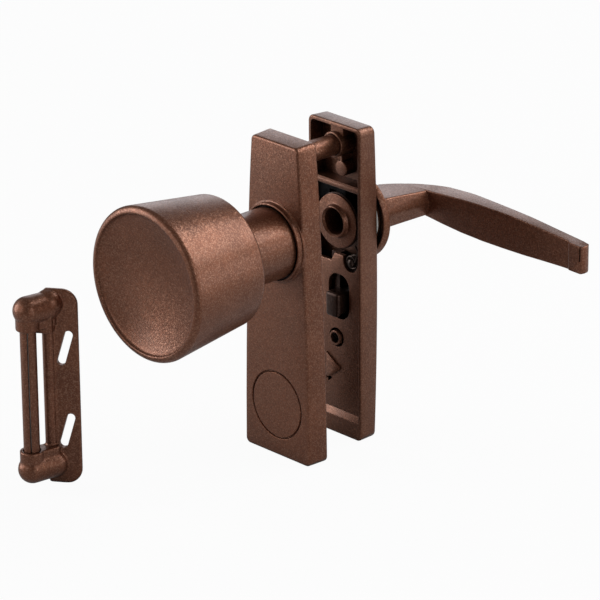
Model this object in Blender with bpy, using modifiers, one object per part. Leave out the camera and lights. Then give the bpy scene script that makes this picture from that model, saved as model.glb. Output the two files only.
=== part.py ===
"""Knob latch set for a light door: outside knob and escutcheon, inside lever
and housing, and the strike with its roller.

Metres, +Z up. The knob and the lever turn about one axis along Y: the knob is
on the -Y side and the lever on the +Y side. The door's outer face is the plane
y = 0 before the whole set is centred on its own footprint.
"""

import math

import bmesh
import bpy
from mathutils import Matrix, Vector

# Clearances
GAP = 0.0003
MERGE = 0.000002
# The exact solver leaves faces out of the castings with many bosses
CAST_SOLVER = "MANIFOLD"

# Plates and the door between them
PLATE_HEIGHT = 0.125
DOOR_GAP = 0.021
AXIS_BELOW_TOP = 0.03925
SCREW_ABOVE_AXIS = 0.0294

# Outside escutcheon
OUTER_DEPTH = 0.0087
OUTER_TOP_WIDTH = 0.0240
OUTER_BOTTOM_WIDTH = 0.0346
OUTER_DRAFT = 0.0005
OUTER_CORNER = 0.0022
OUTER_WALL = 0.0020
OUTER_EDGE = 0.0009
COLLAR_RADIUS = 0.0143
COLLAR_HEIGHT = 0.0030
COLLAR_WALL = 0.0012
COLLAR_ROUND = 0.0004
BLANK_RADIUS = 0.0136
BLANK_ABOVE_FLOOR = 0.00685
BLANK_GROOVE = 0.0005

# Posts and the upper screw
POST_RADIUS = 0.0038
SCREW_RADIUS = 0.0020
SCREW_REACH = 0.0200
SCREW_HEAD_RADIUS = 0.0038
SCREW_HEAD_HEIGHT = 0.0022
LOWER_POST_REACH = 0.0095
POST_SEAT_DEPTH = 0.0012

# Knob
KNOB_REACH = 0.0725
KNOB_FRONT_RADIUS = 0.0289
KNOB_BACK_RADIUS = 0.0249
KNOB_BACK_REACH = 0.0373
KNOB_RIM = 0.0027
KNOB_DISH_DEPTH = 0.0042
KNOB_WALL = 0.0026
KNOB_BACK_ROUND = 0.0016
NECK_RADIUS = 0.0132
NECK_ROUND = 0.0005
NECK_END_AHEAD = 0.0034
JOURNAL_RADIUS = 0.0108
SHANK_RADIUS = 0.0066
SHANK_END = 0.0034
KNOB_TURN_STEPS = 48

# Spindle
SPINDLE_SIDE = 0.00635
SPINDLE_END = 0.0113
SPINDLE_IN_KNOB = 0.0440

# Retaining ring behind the escutcheon
RING_THICKNESS = 0.0009
RING_WIDTH = 0.0036
RING_SEAT = 0.0009

# Inside housing
HOUSING_DEPTH = 0.0079
HOUSING_CROWN = 0.0015
HOUSING_WIDTH = 0.0274
HOUSING_DRAFT = 0.0005
HOUSING_CORNER = 0.0026
HOUSING_WALL = 0.0015
HOUSING_BACK = 0.0012
HOUSING_EDGE = 0.0007
CROWN_STEPS = 12
BOTTOM_LIP = 0.0056
BOTTOM_SLOPE_TOP = 0.0101
BACK_BOSS_RADIUS = 0.0106
BACK_BOSS_HEIGHT = 0.0002
BACK_BOSS_EDGE = 0.0002
TOP_BOSS_RADIUS = 0.0050
CROSS_RIB_ABOVE_AXIS = 0.0154
RIB_THICKNESS = 0.0013
STUB_RADIUS = 0.0030
STUB_ABOVE_AXIS = 0.0209
STUB_OFFSET = 0.0016

# Lever hub
FLANGE_SIDE_CLEARANCE = 0.0016
HUB_FLANGE_THICKNESS = 0.0013
HUB_RING_RADIUS = 0.0065
HUB_RING_HEIGHT = 0.0022
HUB_BORE_RADIUS = 0.0048
HUB_SHANK_RADIUS = 0.0060
CAM_SIDE_CLEARANCE = 0.0013
CAM_THICKNESS = 0.0009
HUB_TENON_SIDE = 0.0088
HUB_TENON_LENGTH = 0.0021
SQUARE_HOLE_SIDE = 0.00675
SQUARE_HOLE_START = 0.0088
CRANK_PIN_RADIUS = 0.0016
CRANK_RADIUS = 0.0092
CRANK_REST_ANGLE = -22.5

# Latch bolt
BOLT_PROJECTION = 0.0070
BOLT_BOTTOM = 0.0064
BOLT_TOP = 0.0142
BOLT_NOSE_ROUND = 0.0022
BOLT_TAIL = 0.0033

# Mechanism plate
PLATE_THICKNESS = 0.0018
PLATE_SET_BACK = 0.0008
PLATE_TOP_BELOW_AXIS = 0.0138
PLATE_BOTTOM_ABOVE_FLOOR = 0.0106
PLATE_SIDE_CLEARANCE = 0.0004
SLOT_WIDTH = 0.0102
SLOT_TOP_BELOW_AXIS = 0.0209
SLOT_LENGTH_SHARE = 0.3288
SLOT_OFFSET = 0.0010
TONGUE_WIDTH = 0.00555
NOTCH_HEIGHT = 0.0020
NOTCH_SLANT = 0.0008
TANG_WIDTH = 0.0080
TANG_OFFSET = -0.0010
TANG_TOP_SHARE = 0.4466
TANG_LENGTH_SHARE = 0.2155
TANG_POINT_SHARE = 0.62
TANG_PROUD = 0.0008
LOWER_SCREW_SHARE = 0.5270
LOW_BOSS_RADIUS = 0.0029
LOW_BOSS_PROUD = 0.0016
LOW_BOSS_CLEARANCE = 0.0009

# Lock slide
LOCK_TAB_WIDTH = 0.0070
LOCK_TAB_SHARE = 0.5555
LOCK_REST_SHARE = 0.1111
LOCK_TRAVEL_SHARE = 0.2222
LOCK_TAB_PROUD = 0.0035
LOCK_STEM_WIDTH = 0.0042
LOCK_STEM_SHARE = 0.70
LOCK_BUTTON_WIDTH = 0.0090
LOCK_BUTTON_SHARE = 1.50
LOCK_BUTTON_THICKNESS = 0.0036
LOCK_BAR_WIDTH = 0.0042
LOCK_BAR_OFFSET = -0.0024
LOCK_BAR_TOP_BELOW_AXIS = 0.0134

# Return spring and its stud
SPRING_WIRE = 0.0008
SPRING_COIL_RADIUS = 0.0025
SPRING_TURNS = 3
SPRING_FROM_WALL = 0.0046
SPRING_START_ANGLE = 20
SPRING_LEG = 0.0052
SPRING_BELOW_AXIS = 0.0148
SPRING_RECESS = 0.0009
STUD_RADIUS = 0.0016

# Lever
ROSETTE_RADIUS = 0.0165
ROSETTE_FACE_RADIUS = 0.0146
ROSETTE_THICKNESS = 0.0026
ROSETTE_GAP = 0.0010
WASHER_RADIUS = 0.0098
WASHER_THICKNESS = 0.0004
NECK_HALF_HEIGHT = 0.0064
NECK_END_HALF_HEIGHT = 0.0050
NECK_LENGTH = 0.0252
NECK_ARCH = 0.0150
GRIP_THICKNESS = 0.0053
GRIP_LENGTH = 0.0926
GRIP_BELLY_HEIGHT = 0.0138
GRIP_TIP_HEIGHT = 0.0094
GRIP_TIP_PROUD = 0.0007
GRIP_TIP_LENGTH = 0.0072
GRIP_FALL = 0.0024
GRIP_FALL_START = 0.0350
# Each place along the grip and its height, as shares of the length and the belly
GRIP_SHAPE = ((0.054, 0.710), (0.119, 0.725), (0.194, 0.812), (0.302, 0.935), (0.421, 1.0),
              (0.540, 1.0), (0.659, 0.949), (0.778, 0.870), (0.886, 0.790))

# Strike, in its own frame: x across the flange, -y towards the roller
STRIKE_HEIGHT = 0.0770
STRIKE_YAW = 36.0
STRIKE_PLACE = (-0.0356, -0.0833)
FLANGE_RIGHT = 0.0064
FLANGE_LEFT = -0.0062
FLANGE_THICKNESS = 0.0020
FLANGE_CORNER = 0.0060
RAIL_WIDTH = 0.0036
ROLLER_X = -0.0106
ROLLER_STANDOFF = 0.0068
ROLLER_RADIUS = 0.00305
ROLLER_WALL = 0.0012
KNUCKLE_RADIUS = 0.0054
KNUCKLE_INSET = 0.0009
COLLAR_REACH = 0.0155
COLLAR_OUTER = 0.0045
CUP_DEPTH = 0.0012
STRIKE_SLOT_RADIUS = 0.0020
STRIKE_SLOT_RUN = (0.0021, 0.0102)
STRIKE_SLOT_X = 0.00135
STRIKE_SLOT_OFFSET = 0.0170

# Derived heights and planes
AXIS_Z = PLATE_HEIGHT - AXIS_BELOW_TOP
UPPER_SCREW_Z = AXIS_Z + SCREW_ABOVE_AXIS
BLANK_Z = BLANK_RADIUS + BLANK_ABOVE_FLOOR
HOUSING_INNER_Y = DOOR_GAP + HOUSING_DEPTH - HOUSING_BACK
HOUSING_BACK_Y = DOOR_GAP + HOUSING_DEPTH + HOUSING_CROWN
MECH_PLATE_Y = DOOR_GAP + PLATE_SET_BACK
HOUSING_INNER_HALF = HOUSING_WIDTH / 2 - HOUSING_WALL
HUB_FLANGE_RADIUS = HOUSING_INNER_HALF - FLANGE_SIDE_CLEARANCE
CAM_RADIUS = HOUSING_INNER_HALF - CAM_SIDE_CLEARANCE
SPRING_X = HOUSING_INNER_HALF - SPRING_FROM_WALL
SPRING_RECESS_RADIUS = SPRING_COIL_RADIUS + SPRING_WIRE / 2 + SPRING_RECESS
SPINDLE_HOLE_SIDE = SPINDLE_SIDE + 2 * GAP
# The plate's lower forms share out the height between its slot's top and the slope
SLOT_TOP_Z = AXIS_Z - SLOT_TOP_BELOW_AXIS
LOWER_SPAN = SLOT_TOP_Z - BOTTOM_SLOPE_TOP
SLOT_LENGTH = SLOT_LENGTH_SHARE * LOWER_SPAN
SLOT_BOTTOM_Z = SLOT_TOP_Z - SLOT_LENGTH
LOWER_SCREW_Z = BOTTOM_SLOPE_TOP + LOWER_SCREW_SHARE * LOWER_SPAN
TANG_TOP_Z = BOTTOM_SLOPE_TOP + TANG_TOP_SHARE * LOWER_SPAN
TANG_LENGTH = TANG_LENGTH_SHARE * LOWER_SPAN
LOCK_TAB_HEIGHT = LOCK_TAB_SHARE * SLOT_LENGTH
LOCK_TAB_Z = SLOT_BOTTOM_Z + LOCK_REST_SHARE * SLOT_LENGTH + LOCK_TAB_HEIGHT / 2
LOCK_TRAVEL = LOCK_TRAVEL_SHARE * SLOT_LENGTH
LOCK_STEM_HEIGHT = LOCK_STEM_SHARE * LOCK_TAB_HEIGHT
LOCK_BUTTON_HEIGHT = LOCK_BUTTON_SHARE * LOCK_TAB_HEIGHT


def housing_back_y(height):
    """Return the crowned back of the housing at a height."""
    share = 2 * height / PLATE_HEIGHT - 1
    return DOOR_GAP + HOUSING_DEPTH + HOUSING_CROWN * (1 - share ** 2)


ROSETTE_Y = housing_back_y(AXIS_Z) + BACK_BOSS_HEIGHT + ROSETTE_GAP

PAINT = (0.105, 0.052, 0.034)
STEEL = (0.32, 0.30, 0.28)
ZINC = (0.45, 0.45, 0.46)


def clear_scene():
    """Remove what the file holds at its start."""
    for item in list(bpy.data.objects):
        bpy.data.objects.remove(item, do_unlink=True)


def make_collection(name):
    """Return a new collection linked to the scene."""
    group = bpy.data.collections.new(name)
    bpy.context.scene.collection.children.link(group)
    return group


clear_scene()
PARTS = make_collection("knob_latch_set")
CUTTERS = make_collection("cutters")


def make_material(name, colour, roughness, metallic):
    """Return a Principled material."""
    material = bpy.data.materials.new(name)
    material.use_nodes = True
    shader = material.node_tree.nodes["Principled BSDF"]
    shader.inputs["Base Color"].default_value = (*colour, 1.0)
    shader.inputs["Roughness"].default_value = roughness
    shader.inputs["Metallic"].default_value = metallic
    return material


def make_empty(name, location, parent=None, yaw=0.0):
    """Return an empty that carries pieces."""
    empty = bpy.data.objects.new(name, None)
    PARTS.objects.link(empty)
    empty.parent = parent
    empty.location = location
    empty.rotation_euler = (0.0, 0.0, math.radians(yaw))
    return empty


def new_object(name, mesh, group=None):
    """Return an object for a mesh in a collection, cutters by default."""
    item = bpy.data.objects.new(name, mesh)
    (group or CUTTERS).objects.link(item)
    return item


def finish_bmesh(name, mesh_data):
    """Write a bmesh to an object among the cutters."""
    bmesh.ops.recalc_face_normals(mesh_data, faces=mesh_data.faces)
    mesh = bpy.data.meshes.new(name)
    mesh_data.to_mesh(mesh)
    mesh_data.free()
    return new_object(name, mesh)


def evaluated_copy(item, name=None):
    """Replace an object by its evaluated mesh, in world space, welded."""
    bpy.context.view_layer.update()
    graph = bpy.context.evaluated_depsgraph_get()
    mesh = bpy.data.meshes.new_from_object(item.evaluated_get(graph))
    mesh.transform(item.matrix_world)
    title = name or item.name
    bpy.data.objects.remove(item, do_unlink=True)
    welded = bmesh.new()
    welded.from_mesh(mesh)
    bmesh.ops.remove_doubles(welded, verts=welded.verts, dist=MERGE)
    welded.to_mesh(mesh)
    welded.free()
    mesh.name = title
    return new_object(title, mesh)


def box(name, low, high):
    """Return a box between two corners."""
    cube = bmesh.new()
    bmesh.ops.create_cube(cube, size=1.0)
    size = [high[k] - low[k] for k in range(3)]
    middle = [(high[k] + low[k]) / 2 for k in range(3)]
    bmesh.ops.scale(cube, vec=size, verts=cube.verts)
    bmesh.ops.translate(cube, vec=middle, verts=cube.verts)
    return finish_bmesh(name, cube)


def cylinder(name, radius, start, end, steps=32, end_radius=None):
    """Return a cylinder or a cone between two points."""
    along = Vector(end) - Vector(start)
    round_bar = bmesh.new()
    bmesh.ops.create_cone(round_bar, cap_ends=True, segments=steps, radius1=radius,
                          radius2=radius if end_radius is None else end_radius,
                          depth=along.length)
    turn = along.to_track_quat("Z", "Y").to_matrix().to_4x4()
    place = Matrix.Translation((Vector(start) + Vector(end)) / 2) @ turn
    bmesh.ops.transform(round_bar, matrix=place, verts=round_bar.verts)
    return finish_bmesh(name, round_bar)


def sphere(name, radius, centre, rings=12, steps=20):
    """Return a sphere."""
    ball = bmesh.new()
    bmesh.ops.create_uvsphere(ball, u_segments=steps, v_segments=rings, radius=radius)
    bmesh.ops.translate(ball, vec=centre, verts=ball.verts)
    return finish_bmesh(name, ball)


def turned(name, profile, centre, towards, steps=40):
    """Turn a profile of (radius, distance) about an axis.

    The profile runs down its outer side, from its far end to its near end,
    and distances are measured from the centre along towards.
    """
    mesh = bpy.data.meshes.new(name)
    corners = [(radius, 0.0, along) for radius, along in profile]
    mesh.from_pydata(corners, [(k, k + 1) for k in range(len(corners) - 1)], [])
    item = new_object(name, mesh)
    screw = item.modifiers.new("turn", "SCREW")
    screw.steps = steps
    screw.render_steps = steps
    screw.use_merge_vertices = True
    screw.merge_threshold = MERGE
    turn = Vector(towards).to_track_quat("Z", "Y").to_matrix().to_4x4()
    item.matrix_world = Matrix.Translation(centre) @ turn
    return evaluated_copy(item)


def rounded(points, radii, steps=6):
    """Return an outline whose corners are arcs of the given radii."""
    outline = []
    count = len(points)
    for k, corner in enumerate(points):
        here = Vector(corner)
        radius = radii[k] if isinstance(radii, (list, tuple)) else radii
        if radius <= 0:
            outline.append(tuple(here))
            continue
        before = (Vector(points[k - 1]) - here).normalized()
        after = (Vector(points[(k + 1) % count]) - here).normalized()
        half = before.angle(after) / 2
        centre = here + (before + after).normalized() * radius / math.sin(half)
        first = here + before * radius / math.tan(half)
        last = here + after * radius / math.tan(half)
        start = first - centre
        sweep = start.angle_signed(last - centre)
        for step in range(steps + 1):
            turn = -sweep * step / steps
            outline.append(tuple(centre + Matrix.Rotation(turn, 2) @ start))
    return outline


def arc(centre, radius, start, end, steps):
    """Return points along an arc, angles in degrees."""
    return [(centre[0] + radius * math.cos(math.radians(start + (end - start) * k / steps)),
             centre[1] + radius * math.sin(math.radians(start + (end - start) * k / steps)))
            for k in range(steps + 1)]


PLANES = {
    "XZ": Matrix(((1, 0, 0), (0, 0, 1), (0, 1, 0))).to_4x4(),
    "XY": Matrix.Identity(4),
    "YZ": Matrix(((0, 0, 1), (1, 0, 0), (0, 1, 0))).to_4x4(),
}


def prism(name, outline, plane, start, end):
    """Return a flat outline drawn in a plane and extruded between two levels."""
    curve = bpy.data.curves.new(name, "CURVE")
    curve.dimensions = "2D"
    curve.fill_mode = "BOTH"
    curve.extrude = (end - start) / 2
    spline = curve.splines.new("POLY")
    spline.points.add(len(outline) - 1)
    for point, (across, up) in zip(spline.points, outline):
        point.co = (across, up, 0.0, 1.0)
    spline.use_cyclic_u = True
    item = new_object(name, curve)
    item.matrix_world = PLANES[plane] @ Matrix.Translation((0, 0, (start + end) / 2))
    solid = evaluated_copy(item)
    fixed = bmesh.new()
    fixed.from_mesh(solid.data)
    bmesh.ops.recalc_face_normals(fixed, faces=fixed.faces)
    fixed.to_mesh(solid.data)
    fixed.free()
    return solid


def wire(name, points, radius, sides=2):
    """Return a round wire through points."""
    curve = bpy.data.curves.new(name, "CURVE")
    curve.dimensions = "3D"
    curve.bevel_depth = radius
    curve.bevel_resolution = sides
    curve.use_fill_caps = True
    spline = curve.splines.new("POLY")
    spline.points.add(len(points) - 1)
    for point, place in zip(spline.points, points):
        point.co = (*place, 1.0)
    return evaluated_copy(new_object(name, curve))


def combine(item, other, operation, solver="EXACT"):
    """Add one Boolean modifier that uses another object."""
    other.hide_render = True
    other.display_type = "WIRE"
    change = item.modifiers.new(other.name, "BOOLEAN")
    change.operation = operation
    change.object = other
    change.solver = solver
    return item


def cut(item, *others, solver="EXACT"):
    """Take solids away from an object."""
    for other in others:
        combine(item, other, "DIFFERENCE", solver)
    return item


def join(item, *others, solver="EXACT"):
    """Unite solids with an object."""
    for other in others:
        combine(item, other, "UNION", solver)
    return item


def bevel(item, width, segments=2, angle=40.0):
    """Round the sharp edges of an object."""
    change = item.modifiers.new("edges", "BEVEL")
    change.width = width
    change.segments = segments
    change.limit_method = "ANGLE"
    change.angle_limit = math.radians(angle)
    change.use_clamp_overlap = True
    return evaluated_copy(item)


def place_part(item, name, material, carrier, origin):
    """Bake an object, name it, and hang it on its carrier at an origin."""
    solid = evaluated_copy(item, name)
    CUTTERS.objects.unlink(solid)
    PARTS.objects.link(solid)
    solid.name = name
    solid.data.transform(Matrix.Translation(-Vector(origin)))
    solid.data.materials.clear()
    solid.data.materials.append(material)
    solid.data.shade_smooth()
    solid.data.set_sharp_from_angle(angle=math.radians(35))
    solid.parent = carrier
    solid.location = Vector(origin) - carrier.matrix_local.translation
    return solid


def tapered_outline(top_width, bottom_width, low, high, corner):
    """Return the outline of a plate that widens towards its bottom."""
    corners = [(-bottom_width / 2, low), (bottom_width / 2, low),
               (top_width / 2, high), (-top_width / 2, high)]
    return rounded(corners, corner)


def drafted_block(name, outline, start, end, draft, middle_z):
    """Return an extruded outline whose far face is smaller by its draft."""
    block = prism(name, outline, "XZ", start, end)
    far = end if abs(end) > abs(start) else start
    for corner in block.data.vertices:
        if abs(corner.co.y - far) < MERGE:
            corner.co.x -= math.copysign(draft, corner.co.x)
            if corner.co.z > middle_z:
                corner.co.z -= draft
    return block


def build_outside_escutcheon():
    """Cast outside plate with its collar, posts and lock-hole blank."""
    outline = tapered_outline(OUTER_TOP_WIDTH + 2 * OUTER_DRAFT,
                              OUTER_BOTTOM_WIDTH + 2 * OUTER_DRAFT,
                              0.0, PLATE_HEIGHT, OUTER_CORNER)
    plate = drafted_block("plate", outline, -OUTER_DEPTH, 0.0, OUTER_DRAFT, AXIS_Z)
    plate = bevel(plate, OUTER_EDGE, 3, 60.0)
    inner = tapered_outline(OUTER_TOP_WIDTH - 2 * OUTER_WALL, OUTER_BOTTOM_WIDTH - 2 * OUTER_WALL,
                            OUTER_WALL, PLATE_HEIGHT - OUTER_WALL, OUTER_CORNER / 2)
    hollow = prism("hollow", inner, "XZ", -OUTER_DEPTH + OUTER_WALL, 0.01)
    cut(plate, hollow, solver=CAST_SOLVER)
    rim = OUTER_DEPTH + COLLAR_HEIGHT
    bore = COLLAR_RADIUS - COLLAR_WALL
    collar = turned("collar", [(0, OUTER_DEPTH), (bore, OUTER_DEPTH), (bore, rim),
                               (COLLAR_RADIUS - COLLAR_ROUND, rim),
                               (COLLAR_RADIUS, rim - COLLAR_ROUND),
                               (COLLAR_RADIUS, OUTER_DEPTH - OUTER_WALL / 2),
                               (0, OUTER_DEPTH - OUTER_WALL / 2)],
                    (0, 0, AXIS_Z), (0, -1, 0), 48)
    join(plate, collar, solver=CAST_SOLVER)
    floor_y = -OUTER_DEPTH + OUTER_WALL / 2
    upper_end = DOOR_GAP + POST_SEAT_DEPTH
    upper = cylinder("upper_post", POST_RADIUS, (0, floor_y, UPPER_SCREW_Z),
                     (0, upper_end, UPPER_SCREW_Z), 28)
    lower = cylinder("lower_post", POST_RADIUS, (0, floor_y, LOWER_SCREW_Z),
                     (0, LOWER_POST_REACH, LOWER_SCREW_Z), 28)
    join(plate, upper, lower, solver=CAST_SOLVER)
    hole_radius = SCREW_RADIUS + GAP
    upper_hole = cylinder("upper_hole", hole_radius,
                          (0, HOUSING_BACK_Y - SCREW_REACH - 0.002, UPPER_SCREW_Z),
                          (0, upper_end + 0.001, UPPER_SCREW_Z), 20)
    lower_hole = cylinder("lower_hole", hole_radius, (0, -0.004, LOWER_SCREW_Z),
                          (0, LOWER_POST_REACH + 0.001, LOWER_SCREW_Z), 20)
    shank_hole = cylinder("shank_hole", SHANK_RADIUS + GAP, (0, -0.02, AXIS_Z),
                          (0, 0.0, AXIS_Z), 40)
    cut(plate, upper_hole, lower_hole, shank_hole, solver=CAST_SOLVER)
    face = -OUTER_DEPTH
    groove = cylinder("groove", BLANK_RADIUS, (0, face - 0.001, BLANK_Z),
                      (0, face + BLANK_GROOVE, BLANK_Z), 64)
    island = cylinder("island", BLANK_RADIUS - BLANK_GROOVE, (0, face - 0.002, BLANK_Z),
                      (0, face + 0.002, BLANK_Z), 64)
    cut(groove, island)
    cut(plate, groove, solver=CAST_SOLVER)
    return plate


def knob_profile():
    """Outer profile of the knob, from the dish's centre to the shank's end."""
    dish_radius = KNOB_FRONT_RADIUS - KNOB_RIM
    depth = KNOB_DISH_DEPTH
    ball = (dish_radius ** 2 + depth ** 2) / (2 * depth)
    points = []
    for k in range(7):
        radius = dish_radius * k / 6
        drop = math.sqrt(ball ** 2 - radius ** 2) - (ball - depth)
        points.append((radius, KNOB_REACH - drop))
    rim = KNOB_RIM / 2
    points += [(dish_radius + rim * (1 - math.cos(math.radians(a))),
                KNOB_REACH - rim + rim * math.sin(math.radians(a)))
               for a in (60, 90, 120, 150, 180)]
    back = KNOB_BACK_RADIUS
    points += [(back, KNOB_BACK_REACH + KNOB_BACK_ROUND),
               (back - KNOB_BACK_ROUND * 0.3, KNOB_BACK_REACH + KNOB_BACK_ROUND * 0.3),
               (back - KNOB_BACK_ROUND, KNOB_BACK_REACH),
               (NECK_RADIUS + 0.0012, KNOB_BACK_REACH - 0.0006),
               (NECK_RADIUS, KNOB_BACK_REACH - 0.0018)]
    neck_end = OUTER_DEPTH + COLLAR_HEIGHT + NECK_END_AHEAD
    face = OUTER_DEPTH + GAP
    points += [(NECK_RADIUS, neck_end + NECK_ROUND), (NECK_RADIUS - NECK_ROUND, neck_end),
               (JOURNAL_RADIUS, neck_end), (JOURNAL_RADIUS, face), (SHANK_RADIUS, face)]
    seat = OUTER_DEPTH - OUTER_WALL
    points += [(SHANK_RADIUS, seat),
               (SHANK_RADIUS - RING_SEAT, seat),
               (SHANK_RADIUS - RING_SEAT, seat - RING_THICKNESS - 2 * GAP),
               (SHANK_RADIUS, seat - RING_THICKNESS - 2 * GAP),
               (SHANK_RADIUS, -SHANK_END + 0.0005),
               (SHANK_RADIUS - 0.0005, -SHANK_END),
               (0, -SHANK_END)]
    return points


def build_knob():
    """Hollow cast knob with a dished face, a neck and a shank."""
    centre = (0, 0, AXIS_Z)
    knob = turned("knob_turning", knob_profile(), centre, (0, -1, 0), KNOB_TURN_STEPS)
    front = KNOB_REACH - KNOB_DISH_DEPTH - KNOB_WALL
    rear = KNOB_BACK_REACH + KNOB_WALL
    cavity = turned("knob_cavity", [(0, front),
                                    (KNOB_FRONT_RADIUS - KNOB_WALL - 0.0022, front),
                                    (KNOB_BACK_RADIUS - KNOB_WALL, rear), (0, rear)],
                    centre, (0, -1, 0), 40)
    half = SPINDLE_HOLE_SIDE / 2
    socket = box("spindle_socket", (-half, -rear - 0.006, AXIS_Z - half),
                 (half, SHANK_END + 0.001, AXIS_Z + half))
    return cut(knob, cavity, socket)


def build_spindle():
    """Square steel spindle carried in the knob's shank."""
    half = SPINDLE_SIDE / 2
    bar = box("bar", (-half, -SPINDLE_IN_KNOB, AXIS_Z - half), (half, SPINDLE_END, AXIS_Z + half))
    return bevel(bar, 0.0005, 1)


def build_knob_ring():
    """Open retaining ring in the groove of the knob's shank."""
    seat = OUTER_DEPTH - OUTER_WALL - GAP
    inner = SHANK_RADIUS - RING_SEAT + GAP
    ring = cylinder("ring", inner + RING_WIDTH, (0, -seat, AXIS_Z),
                    (0, -seat + RING_THICKNESS, AXIS_Z), 40)
    hole = cylinder("ring_hole", inner, (0, -seat - 0.001, AXIS_Z),
                    (0, -seat + 0.002, AXIS_Z), 40)
    mouth = box("ring_mouth", (-inner * 0.8, -seat - 0.001, AXIS_Z - 0.02),
                (inner * 0.8, -seat + 0.002, AXIS_Z))
    return cut(ring, hole, mouth)


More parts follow.
